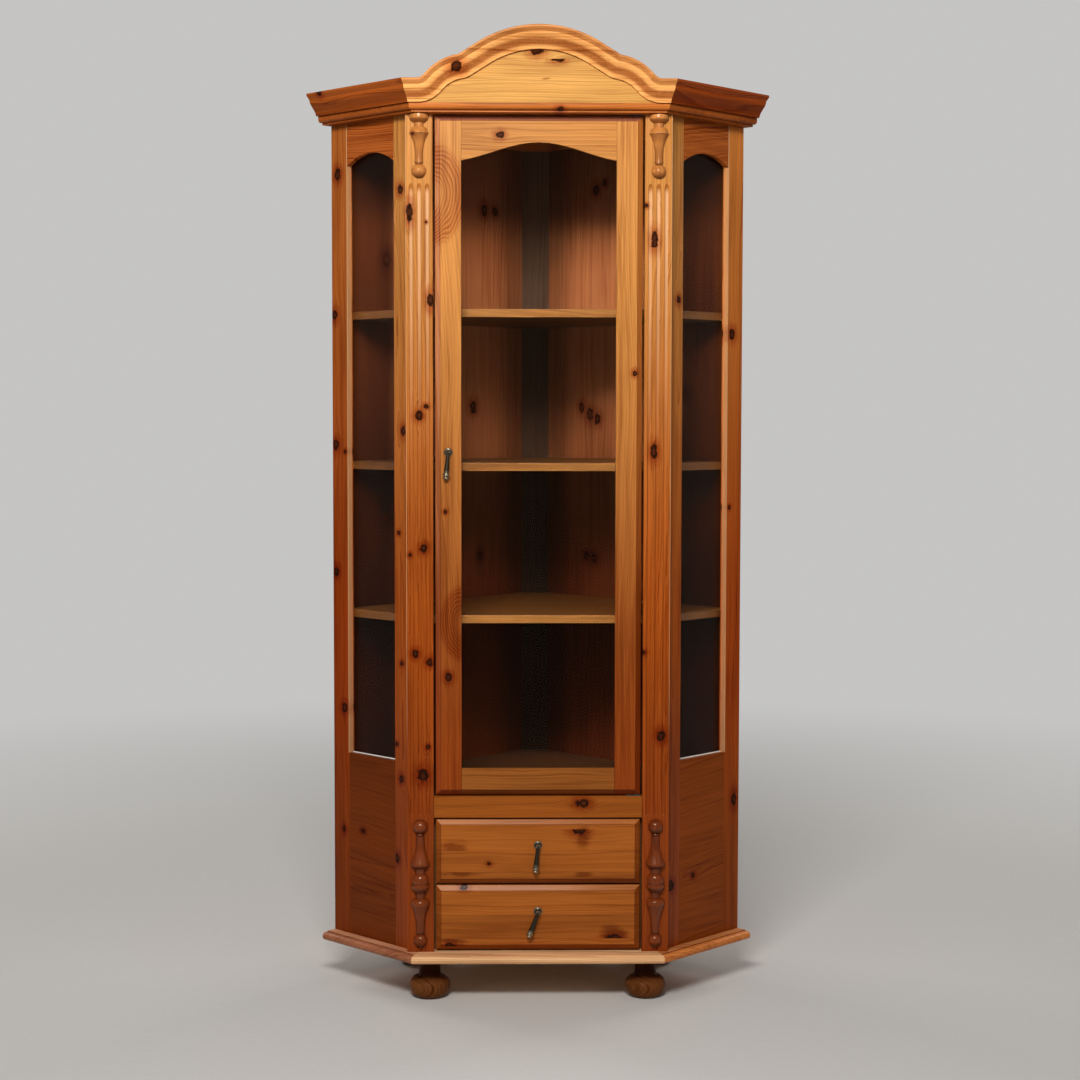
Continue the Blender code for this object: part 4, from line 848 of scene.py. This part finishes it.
# Glass
# Clear sheet glass, 3 mm thick, laid in the rebates behind the frames of the sides and the door.
clear = Finish(bpy.data.materials.new("clear_sheet_glass"))
tint = clear.mix(clear.noise(clear.place(), (3, 3, 2)), (0.97, 0.99, 0.98), (0.99, 0.995, 0.99))
pane = clear.node("BsdfPrincipled", {}, {
    "Base Color": tint, "Roughness": 0.0, "IOR": 1.15, "Transmission Weight": 1.0,
    "Specular Tint": (1.0, 0.74, 0.54),
})
shadow_ray = clear.node("LightPath", output=1)
passing = clear.node("BsdfTransparent", {}, {"Color": (0.96, 0.97, 0.965)})
clear.node("OutputMaterial", {}, (clear.node("MixShader", {}, (shadow_ray, pane, passing)),))
for node in ("side_glass_left", "side_glass_right", "door_glass"):
    dress(node, clear.owner, 0.0)

# A pale bead along each window sill, whose colour is a painted highlight for the lit bottom edge of the
# glass.
bead_highlight_paint = Finish(bpy.data.materials.new("sill_highlight_bead"))
wiped = bead_highlight_paint.noise(bead_highlight_paint.place(), (90, 90, 400), detail=2)
bead_highlight_paint.surface(Base_Color=bead_highlight_paint.mix(wiped, (0.62, 0.58, 0.52), (0.80, 0.78, 0.74)), Roughness=0.45)
pane_face = -GLASS_SETBACK + 0.0002
wedge = [(pane_face, 0.0002), (pane_face + 0.0022, 0.0002), (pane_face, 0.0022)]
for label, side in SIDES:
    rows = []
    for along in (POST_SIDE_WIDTH + 0.0006, WINDOW_END - 0.0006):
        rows.append([on_side(side, along, out) + Vector((0, 0, SILL + up)) for out, up in wedge])
    bead_mesh = lofted(f"sill_highlight_bead_{label}", rows)
    bead_mesh.materials.append(bead_highlight_paint.owner)
    sill_highlight_bead = placed(f"sill_highlight_bead_{label}", bead_mesh)
    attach(sill_highlight_bead, "carcass")


# Back walls, shelves and floor of the display part
# The backs and the narrow board in the room's corner are upright boards, darkened on the inside by painted
# shade.
# Three shelves, housed in them, show a lacquered edge with painted shade behind it; the floor lies on the
# drawer cheeks.
INSIDE_TONE = (0.45, 0.155, 0.055)
# Painted shade: the tint by which the inner faces darken downwards.
INSIDE_DOWNWARD_SHADE = (0.18, 0.088, 0.062)
SHELF_TONE = (0.205, 0.079, 0.0160)
BACK_KNOTS = {
    -1: [(1.73, 0.455, 0.007, 1.3), (1.73, 0.489, 0.006, 1.2), (1.27, 0.418, 0.008, 1.2),
         (0.92, 0.440, 0.006, 1.2), (1.60, 0.150, 0.008, 1.6), (1.02, 0.145, 0.008, 1.2)],
    1: [(1.776, 0.427, 0.007, 1.2), (1.790, 0.400, 0.005, 1.2), (1.270, 0.470, 0.006, 1.5),
        (1.253, 0.445, 0.008, 1.3), (1.243, 0.420, 0.007, 1.3), (0.917, 0.455, 0.006, 1.2),
        (0.915, 0.430, 0.007, 1.2), (1.30, 0.150, 0.008, 1.2)],
}
BACK_BOARD = 0.095


def facing(wood, way):
    """1 on the faces that look along a way, 0 on those that look against it."""
    return wood.measured(wood.normal(), way).rise(-0.3, 0.3)


def shaded_inside(wood, inner):
    """Painted shade: the inner faces darken downwards, as the posts do, but more."""
    wood.darken(wood.u.rise(DOWNWARD_SHADE_FROM, DOWNWARD_SHADE_TO) * inner, INSIDE_DOWNWARD_SHADE)


for label, side in SIDES:
    wall_way = Vector((-side * SIDE_COS, SIDE_SIN, 0))
    wall_start = on_side(side, SIDE_LENGTH, 0)
    wood = Pine(
        f"back_panel_{label}_pine", wall_start, (0, 0, 1), wall_way, INSIDE_TONE, seed=70 + side,
        pith=(0.2, 0.05), ring=0.0060, joints=[BACK_BOARD * count for count in range(1, 6)], lacquer=0.0,
        fine=0.1, shine=0.1, knots=BACK_KNOTS[side],
    )
    inner = facing(wood, (-side * SIDE_SIN, -SIDE_COS, 0))
    shaded_inside(wood, inner)
    # Painted shadow of the door's top rail across the top of the wall.
    wood.darken(wood.u.rise(1.64, 1.75) * inner, (0.40, 0.38, 0.42))
    # Painted shade near the wall's outer end.
    wood.darken(wood.v.rise(0.21, 0.15) * inner, (0.16, 0.10, 0.07))
    # Painted shade towards the room's corner.
    wood.darken(wood.v.rise(0.47, 0.56) * inner * 0.8, (0.30, 0.28, 0.30))
    dress(f"back_panel_{label}", wood.lacquered(0.5), 0.0)
wood = Pine(
    "back_corner_pine", (0, 0.327, 0), *UPRIGHT_GRAIN, INSIDE_TONE, seed=75, lacquer=0.0, fine=0.1,
)
inner = facing(wood, (0, -1, 0))
# Painted shade: the corner board's inner face is toned dark and cool.
wood.darken(inner, (0.126, 0.168, 0.270))
shaded_inside(wood, inner)
dress("back_corner_board", wood.lacquered(0.5), 0.0)
for number, shelf in enumerate(("lower", "middle", "upper")):
    low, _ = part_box(f"shelf_{shelf}")
    wood = Pine(
        f"shelf_{shelf}_pine", (0.0, low.y, low.z), *LYING_GRAIN, SHELF_TONE, seed=80 + number,
        pith=(0.06, 0.05), joints=(0.11, 0.24), lacquer=0.2,
    )
    # Painted shade over the shelf behind its lit front edge.
    shaded_behind_edge = wood.v.rise(0.0005, 0.004)
    wood.darken(shaded_behind_edge * 0.9, (0.42, 0.36, 0.38))
    dress(f"shelf_{shelf}", wood.lacquered(0.42), 0.0010)
# Painted shade: the deck's dark tone stands for the shade on the floor of the lowest bay.
wood = Pine(
    "deck_pine", (0.0, FRONT_Y, 0.44), *LYING_GRAIN, (0.070, 0.027, 0.011), seed=85,
    joints=(0.14, 0.29), lacquer=0.0,
)
dress("deck_board", wood.lacquered(0.5), 0.0006)


# Drawer housing and drawers
# Plain cheeks and runners of unlacquered pine guide two drawers. Each drawer is a pine box with its
# bottom in a groove, behind a front glued up from three strips and bevelled on all four edges.
RAW_TONE = (0.46, 0.27, 0.125)
FRONT_HALF_WIDTH, BEVEL, FRONT_SETBACK = 0.218, 0.0108, 0.002


def bevelled(wood, low, high, tints):
    """Painted light and shade on the bevels of a leaf between two heights: each edge's tint, mitred."""
    x, z = (wood.axis(wood.place(), number) for number in (0, 2))
    edges = {"left": x + FRONT_HALF_WIDTH, "right": FRONT_HALF_WIDTH - x, "bottom": z - low, "top": high - z}
    nearest = edges["left"]
    for edge in ("right", "bottom", "top"):
        nearest = nearest.maths("MINIMUM", edges[edge])
    for edge, tint in tints.items():
        mitred = (nearest - edges[edge]).rise(-0.0003, 0.0)
        wood.darken(mitred * edges[edge].rise(BEVEL + 0.0003, BEVEL - 0.0003), tint)
    # Painted shadow line along the bevels' inner edge.
    wood.darken(abs(nearest - BEVEL).rise(0.0011, 0.0003) * 0.8, (0.50, 0.38, 0.32))


for part in ("cheek", "runner"):
    for label, side in SIDES:
        low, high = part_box(f"drawer_{part}_{label}")
        face = Vector((low.x if side > 0 else high.x, low.y, low.z))
        # Painted shade: cheeks and runners are toned darker than the drawer boxes, so the gaps beside the
        # drawers read dark.
        wood = Pine(
            f"drawer_{part}_{label}_pine", face, *INWARD_GRAIN, (0.20, 0.095, 0.038), seed=90 + side,
            joints=(0.105, 0.210) if part == "cheek" else (), lacquer=0.0,
        )
        dress(f"drawer_{part}_{label}", wood.lacquered(0.6), 0.0008)

DRAWER_TONE = (0.345, 0.096, 0.0136)
# Painted shade on the drawers' left, right and bottom bevels.
DRAWER_BEVEL_SHADE = {"left": (0.72, 0.62, 0.55), "right": (0.60, 0.48, 0.40), "bottom": (0.55, 0.42, 0.34)}
STRIPS = {"upper": (0.2761, 0.3222), "lower": (0.132, 0.183)}
DRAWER_KNOTS = {
    "upper": [(0.0875, 0.3690, 0.0075, 1.5, (0.3688, 1)), (-0.1046, 0.2944, 0.0030, 1.2)],
    "lower": [(-0.158, 0.2425, 0.0040, 1.5), (0.1640, 0.1330, 0.0060, 1.8, (0.132, -1)),
              (-0.1881, 0.1170, 0.0045, 1.8, (0.1150, -1))],
}
STAINS = {
    "upper": [(-0.182, 0.3300, 0.036, 0.020, (0.3222, -1)), (-0.165, 0.2740, 0.044, 0.012, (0.2761, 1)),
              (0.0963, 0.3480, 0.018, 0.030, (0.3222, -1)), (0.0980, 0.2740, 0.026, 0.012, (0.2761, 1))],
    "lower": [(0.162, 0.1420, 0.036, 0.022, (0.132, -1)), (-0.180, 0.1300, 0.036, 0.014, (0.132, 1))],
}
for number, drawer in enumerate(("upper", "lower")):
    low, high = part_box(f"drawer_{drawer}_front")
    wood = Pine(
        f"drawer_{drawer}_front_pine", (0.0, low.y, 0.0), *LEVEL_GRAIN, DRAWER_TONE, seed=100 + number,
        pith=(0.22, 0.035), lean=(0.012, 0.03), ring=0.0042, joints=STRIPS[drawer],
        knots=DRAWER_KNOTS[drawer], stains=STAINS[drawer], contrast=0.5,
    )
    bevelled(wood, low.z, high.z, DRAWER_BEVEL_SHADE)
    dress(f"drawer_{drawer}_front", wood.lacquered(), 0.0006)
    low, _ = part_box(f"drawer_{drawer}_box")
    wood = Pine(
        f"drawer_{drawer}_box_pine", low, *INWARD_GRAIN, RAW_TONE, seed=104 + number, lacquer=0.0,
        knots=[(0.2, 0.06, 0.006, 1.2)],
    )
    dress(f"drawer_{drawer}_box", wood.lacquered(0.62), 0.0010)
    low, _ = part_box(f"drawer_{drawer}_bottom")
    wood = Pine(
        f"drawer_{drawer}_bottom_pine", low, *LYING_GRAIN, (0.50, 0.31, 0.155), seed=108 + number,
        ring=0.007, lacquer=0.0,
    )
    dress(f"drawer_{drawer}_bottom", wood.lacquered(0.65), 0.0)


# Door and mid rail
# The rail between door and drawers is let into the posts. The door is a frame of two stiles and two
# rails, bevelled round its outer edge like the drawers, with a wavy top rail in paler pine.
RAIL_TONE = (0.29, 0.076, 0.0092)
low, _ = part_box("mid_rail")
wood = Pine(
    "mid_rail_pine", (0.0, low.y, low.z), *LEVEL_GRAIN, RAIL_TONE, seed=110, pith=(-0.05, 0.03),
    knots=[(0.0948, 0.031, 0.0065, 1.5)], contrast=0.6,
)
dress("mid_rail", wood.lacquered(), 0.0008)

STILE_TONE = (0.56, 0.235, 0.056)
STILE_WIDTH, DOOR_BOTTOM, DOOR_TOP = 0.055, 0.443, 1.876
# Painted light and shade on the door's bevels: paler pink on the left, darker on the right, top and bottom.
DOOR_BEVEL_LIGHT_AND_SHADE = {
    "left": (0.98, 0.93, 1.60), "right": (0.62, 0.48, 0.36),
    "top": (0.55, 0.46, 1.05), "bottom": (0.50, 0.36, 0.28),
}
DOOR_STILE_SWIRLS = [(0.712, -0.0345, 0.105, 0.072, 12), (-0.190, 0.030, 0.080, 0.048, 10)]
DOOR_STILE_KNOTS = {
    -1: [(-0.305, -0.0005, 0.0055, 1.2), (0.0477, -0.0063, 0.0030, 1.0)],
    1: [(0.34, 0.012, 0.0035, 1.2)],
}
for label, side in SIDES:
    middle = (side * (FRONT_HALF_WIDTH - STILE_WIDTH / 2), FRONT_Y + FRONT_SETBACK, 1.0)
    pith, lean = ((0.05, 0.045), (0.0, -0.02)) if side < 0 else ((-0.06, 0.03), (0.01, 0.02))
    # Painted shade darkens the stiles downwards, by their own tint and heights.
    wood = Pine(
        f"door_stile_{label}_pine", middle, *UPRIGHT_GRAIN, STILE_TONE, seed=120 + side, pith=pith,
        lean=lean, ring=0.0044, knots=DOOR_STILE_KNOTS[side], swirls=DOOR_STILE_SWIRLS if side < 0 else (),
        contrast=0.7, downward_shade=(0.47, 0.21, 0.10), downward_shade_from=1.75, downward_shade_to=0.45,
    )
    bevelled(wood, DOOR_BOTTOM, DOOR_TOP, DOOR_BEVEL_LIGHT_AND_SHADE)
    dress(f"door_stile_{label}", wood.lacquered(), 0.0006)
low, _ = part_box("door_bottom_rail")
wood = Pine("door_bottom_rail_pine", (0.0, low.y, low.z), *LEVEL_GRAIN, (0.28, 0.088, 0.0150), seed=124)
bevelled(wood, DOOR_BOTTOM, DOOR_TOP, DOOR_BEVEL_LIGHT_AND_SHADE)
dress("door_bottom_rail", wood.lacquered(), 0.0006)

PALE_TONE = (0.49, 0.200, 0.046)
low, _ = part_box("door_top_rail")
wood = Pine(
    "door_top_rail_pine", (0.0, low.y, 1.83), *LEVEL_GRAIN, PALE_TONE, seed=126, pith=(-0.08, 0.03),
    lean=(0.02, 0.03), knots=[(-0.0816, 0.006, 0.0050, 1.2)],
)
bevelled(wood, DOOR_BOTTOM, DOOR_TOP, DOOR_BEVEL_LIGHT_AND_SHADE)
dress("door_top_rail", wood.lacquered(), 0.0005)


# Top board and crown
# The top board shows a small cove and fillet under the crown. The crown is moulded pine: two runs on
# the sides, mitred at the front corners to a front piece sawn and carved to the swan-necked arch.
top_edge = [(0.025, 0), (0.025, 0.0045)] + arc((0.030, 0.011), (0.0065, 0.0065), -90, 0, 13)
top_edge.append((0.0365, 0.0175))
wood = Pine(
    "top_board_pine", (0.0, FRONT_Y, TOP_BOARD_LOW), *LEVEL_GRAIN, (0.49, 0.138, 0.0225), seed=130,
    knots=[(0.0428, 0.006, 0.0035, 1.5)],
)
# Painted shade on the canted sides.
wood.darken(on_board_sides(wood), (0.66, 0.56, 0.50))
stand_in("top_board", moulded_board("top_board", top_edge, TOP_BOARD_LOW), wood.lacquered())

CROWN_FOOT, CROWN_SWELL, CROWN_LIP, CROWN_MIDDLE = 0.043, 0.061, 0.069, 0.055
ARCH_BACK, CROWN_BACK = 0.0358, 0.0203
CROWN_LOW, CROWN_HEIGHT, SWELL_TOP, LIP_LOW = 1.8968, 0.0455, 0.0325, 0.0410
ARCH_FOOT, MITRE_GAP = 0.253, 0.00015


def section_to(back):
    """The moulding's section as (out, up): an ogee, the slope to the lip, the lip and a flat back."""
    swell, ease = CROWN_SWELL - CROWN_FOOT, 0.0008
    section = [(CROWN_FOOT + swell * (1 - math.cos(math.pi * s)) / 2, SWELL_TOP * s) for s in shares(29)]
    section += [(CROWN_LIP, LIP_LOW), (CROWN_LIP, CROWN_HEIGHT - ease), (CROWN_LIP - ease, CROWN_HEIGHT)]
    return section + [(back, CROWN_HEIGHT), (back, 0)]


def arch_line():
    """The lower edge of the arched moulding, from left to right, as (x, z, slope)."""
    half = [(-ARCH_FOOT, CROWN_LOW, 0.0)]

    def bend(slope, radius, count):
        x, z, last = half[-1]
        way = 1 if slope > last else -1
        for i in range(1, count + 1):
            turn = last + (slope - last) * i / count
            across = way * radius * (math.sin(turn) - math.sin(last))
            half.append((x + across, z + way * radius * (math.cos(last) - math.cos(turn)), turn))

    def straight(run):
        x, z, slope = half[-1]
        half.append((x + run * math.cos(slope), z + run * math.sin(slope), slope))

    last_rise, middle_radius = math.radians(32), 0.195
    bend(math.radians(47), 0.065, 12)
    straight(0.0098)
    bend(math.radians(9), 0.068, 12)
    bend(last_rise, 0.045, 8)
    straight((-middle_radius * math.sin(last_rise) - half[-1][0]) / math.cos(last_rise))
    bend(0.0, middle_radius, 18)
    return half + [(-x, z, -slope) for x, z, slope in reversed(half[:-1])]


def raised(place, section):
    """The section's points, each where a function puts its distance out, at the crown's height."""
    return [place(out) + Vector((0, 0, CROWN_LOW + up)) for out, up in section]


arch_section = section_to(ARCH_BACK)
rings = [
    [(x - up * math.sin(slope), FRONT_Y - out, z + up * math.cos(slope)) for out, up in arch_section]
    for x, z, slope in arch_line()
]
for side, at in ((-1, 0), (1, len(rings) + 1)):
    rings.insert(at, raised(lambda out: front_corner(side, out, MITRE_GAP), arch_section))
# The arch's pale tone is partly painted light on the top of the cabinet.
wood = Pine(
    "crown_arch_pine", (0.0, FRONT_Y, 1.95), *LEVEL_GRAIN, (0.76, 0.350, 0.105), seed=134,
    pith=(-0.12, 0.05), knots=[(-0.1716, 0.017, 0.0072, 1.25)], lacquer=0.0, shine=0.10,
)
# Painted shade on the down-facing ogee and on the slope to the lip, mottled like end grain.
end_grain = wood.noise(wood.place(), (420, 60, 180), 3.0, 2)
on_ogee = wood.w.rise(0.0437, 0.0475) * wood.w.rise(0.0590, 0.0540)
wood.darken(on_ogee * (0.55 + end_grain * 0.5), (0.46, 0.26, 0.15))
under_lip = wood.w.rise(0.0612, 0.0625)
wood.darken(under_lip * (0.45 + end_grain * 0.3), (0.60, 0.42, 0.30))
stand_in("crown_arch", lofted("crown_arch", rings, 32.0), wood.lacquered(0.30))
CROWN_TONE = {-1: (0.35, 0.078, 0.0108), 1: (0.30, 0.054, 0.0072)}
side_section = section_to(CROWN_BACK)
for label, side in SIDES:
    mitre = raised(lambda out: front_corner(side, out, -MITRE_GAP), side_section)
    end = raised(lambda out: on_side(side, SIDE_LENGTH, out), side_section)
    wood = Pine(
        f"crown_{label}_pine", on_side(side, 0, CROWN_MIDDLE) + Vector((0, 0, 1.92)), along_side(side),
        (0, 0, 1), CROWN_TONE[side], seed=136 + side, **SIDE_POLISH,
        knots=[(0.236, 0.021, 0.0050, 1.1)] if side < 0 else [],
    )
    # Painted shade on the lower, down-facing part of the ogee.
    out = wood.w * side + CROWN_MIDDLE
    wood.darken(out.rise(0.0600, 0.0540) * 0.5, (0.45, 0.35, 0.30))
    stand_in(f"crown_{label}", lofted(f"crown_{label}", [mitre, end], 32.0), wood.lacquered())


# Pediment
# A board of the palest pine fills the arch from behind, its paleness partly painted light; it is glued
# up from two strips, and one joint runs level across it and cuts through a knot.
PEDIMENT_JOINT = 0.0367
wood = Pine(
    "pediment_pine", (0.0, FRONT_Y - 0.0355, 1.95), *LEVEL_GRAIN, (0.605, 0.305, 0.078), seed=140,
    pith=(0.02, 0.05), lean=(0.02, 0.03), joints=(PEDIMENT_JOINT,),
    knots=[(-0.0048, 0.0531, 0.0065, 1.4), (0.0390, 0.0375, 0.0050, 2.0, (PEDIMENT_JOINT, 1))],
    stains=[(0.0130, -0.004, 0.010, 0.0030)], contrast=0.75, lacquer=0.0, shine=0.05,
)
dress("pediment_board", wood.lacquered(), 0.0)


# Drop pulls
# Cast brass, browned with age and rubbed bright where fingers touch: a domed rosette, a ball on a
# spindle through the front with a nut behind, and a faceless drop hung on a pin through the ball.
def aged_brass(name, middle, bright_from, bright_to):
    """Brass whose browning is rubbed off between two distances from a point; on a drop, also a painted
    highlight.
    """
    brass = Finish(bpy.data.materials.new(name))
    offset = brass.vector("SUBTRACT", brass.place(), middle)
    away = brass.length(offset)
    patches = brass.noise(offset, (260, 260, 260), detail=3)
    pits = brass.noise(offset, (1400, 1400, 1400), detail=2)
    wear_and_highlight = (away.rise(bright_from, bright_to) * 0.55 + patches - 0.50).rise(0.1, 0.5)
    colour = brass.mix(wear_and_highlight, (0.050, 0.043, 0.030), (0.34, 0.30, 0.21))
    colour = brass.mix(pits.rise(0.55, 0.75) * 0.6, colour, (0.030, 0.022, 0.015))
    bump = brass.node("Bump", {}, {"Strength": 0.4, "Distance": 0.0002, "Height": pits})
    brass.surface(Base_Color=colour, Roughness=0.46 - wear_and_highlight * 0.16, Metallic=0.92, Normal=bump)
    return brass.owner


def block(pose, place, size):
    """The matrix that makes a unit cube a block at a place in a pose."""
    return pose @ Matrix.Translation(place) @ Matrix.Diagonal((*size, 1))


BALL_RADIUS, BALL_OUT, DROP_LENGTH = 0.0055, 0.011, 0.0575
SPINDLE_RADIUS, FRONT_THICKNESS = 0.0025, 0.022
PULL_PLACES = {"door": (-0.1905, 1.173, 5.0), "upper": (0.0, 0.334, 5.6), "lower": (0.0, 0.191, 20.0)}
for pull, (x, z, tilt) in PULL_PLACES.items():
    centre = Vector((x, FRONT_Y + FRONT_SETBACK - BALL_OUT, z))
    to_front = Matrix.Rotation(math.pi / 2, 4, "X")
    hang = Matrix.Rotation(math.radians(tilt), 4, "Y")
    rosette = [(0.0026, -0.0107), (0.0026, -0.0069)]
    rosette += arc((0.0042, -0.0079), (0.0016, 0.0012), 100, 10, 8)
    rosette += arc((0.0056, -0.0096), (0.0030, 0.0016), 95, 15, 10)
    rosette += [(0.0095, -0.0100), (0.0095, -0.0107), (0.0026, -0.0107)]
    brass = aged_brass(f"pull_{pull}_rosette_brass", centre, 0.008, 0.014)
    mesh = turned(f"pull_{pull}_rosette", rosette, centre, 48, onto=to_front)
    stand_in(f"pull_{pull}_rosette", mesh, brass)

    nut_radius, nut_top = 0.0055, -BALL_OUT - FRONT_THICKNESS - HAIR_GAP
    nut_end = nut_top - 0.004
    shoulder = math.degrees(math.asin(SPINDLE_RADIUS / BALL_RADIUS)) - 90
    post = [(0, BALL_RADIUS)] + arc((0, 0), (BALL_RADIUS, BALL_RADIUS), 90, shoulder, 18)[1:]
    post += [(SPINDLE_RADIUS, nut_top), (nut_radius, nut_top), (nut_radius, nut_end + 0.0004)]
    post += [(nut_radius - 0.0004, nut_end), (0, nut_end)]
    brass = aged_brass(f"pull_{pull}_post_brass", centre, 0.010, 0.002)
    mesh = turned(f"pull_{pull}_post", post, centre, 48, onto=hang @ to_front)
    piece = stand_in(f"pull_{pull}_post", mesh, brass)
    pose = Matrix.Translation(centre) @ hang
    slot_block = block(pose, (0, -0.004, -0.004), (0.0032, 0.0140, 0.0140))
    cut(piece, [closed_mesh("slot", lambda shape: bmesh.ops.create_cube(shape, matrix=slot_block))])

    start, collar = BALL_RADIUS + 0.0008, DROP_LENGTH - 0.0115
    stem = collar - start - 0.0028
    drop = [(0, -start), (0.0036, -start)]
    drop += [(0.0039 + 0.0018 * s ** 1.3, -start - 0.0008 - stem * s) for s in shares(13)]
    drop += arc((0.0057, -collar - 0.0020), (0.0023, 0.0018), 80, -80, 14)
    drop += [(0.0052, -collar - 0.0044), (0.0051, -collar - 0.0054)]
    drop += arc((0.0018, -collar - 0.0082), (0.0043, 0.0030), 50, -88, 14) + [(0, -DROP_LENGTH)]
    # On the drop the rubbed end is also a painted highlight at the collar.
    brass = aged_brass(f"pull_{pull}_drop_brass", centre, 0.036, 0.050)
    body = turned(f"pull_{pull}_drop", drop, centre, 48, onto=hang)
    joined = bmesh.new()
    joined.from_mesh(body)
    bmesh.ops.create_cone(
        joined, cap_ends=True, segments=28, radius1=0.0027, radius2=0.0027, depth=0.0026,
        matrix=pose @ Matrix.Rotation(math.pi / 2, 4, "Y"),
    )
    bmesh.ops.create_cube(joined, matrix=block(pose, (0, 0, -0.0042), (0.0024, 0.0030, 0.0060)))
    joined.to_mesh(body)
    joined.free()
    body.shade_smooth()
    body.set_sharp_from_angle(angle=math.radians(35))
    stand_in(f"pull_{pull}_drop", body, brass)


# Pivot hinges and catch
# Small plated steel plates whose pins carry the door above and below its right edge, and a ball
# catch under the top board near its left one.
steel = Finish(bpy.data.materials.new("plated_steel"))
haze = steel.noise(steel.place(), (300, 300, 300), detail=3)
brushed = steel.noise(steel.place(), (1200, 90, 1200), 3.0, 2)
steel.surface(
    Base_Color=steel.mix(haze, (0.16, 0.15, 0.14), (0.10, 0.09, 0.08)), Roughness=0.28 + brushed * 0.22,
    Metallic=0.95, Normal=steel.node("Bump", {}, {"Strength": 0.2, "Distance": 0.0001, "Height": brushed}),
)
for node in ("pivot_hinge_bottom", "pivot_hinge_top", "door_catch"):
    dress(node, steel.owner, 0.0004)
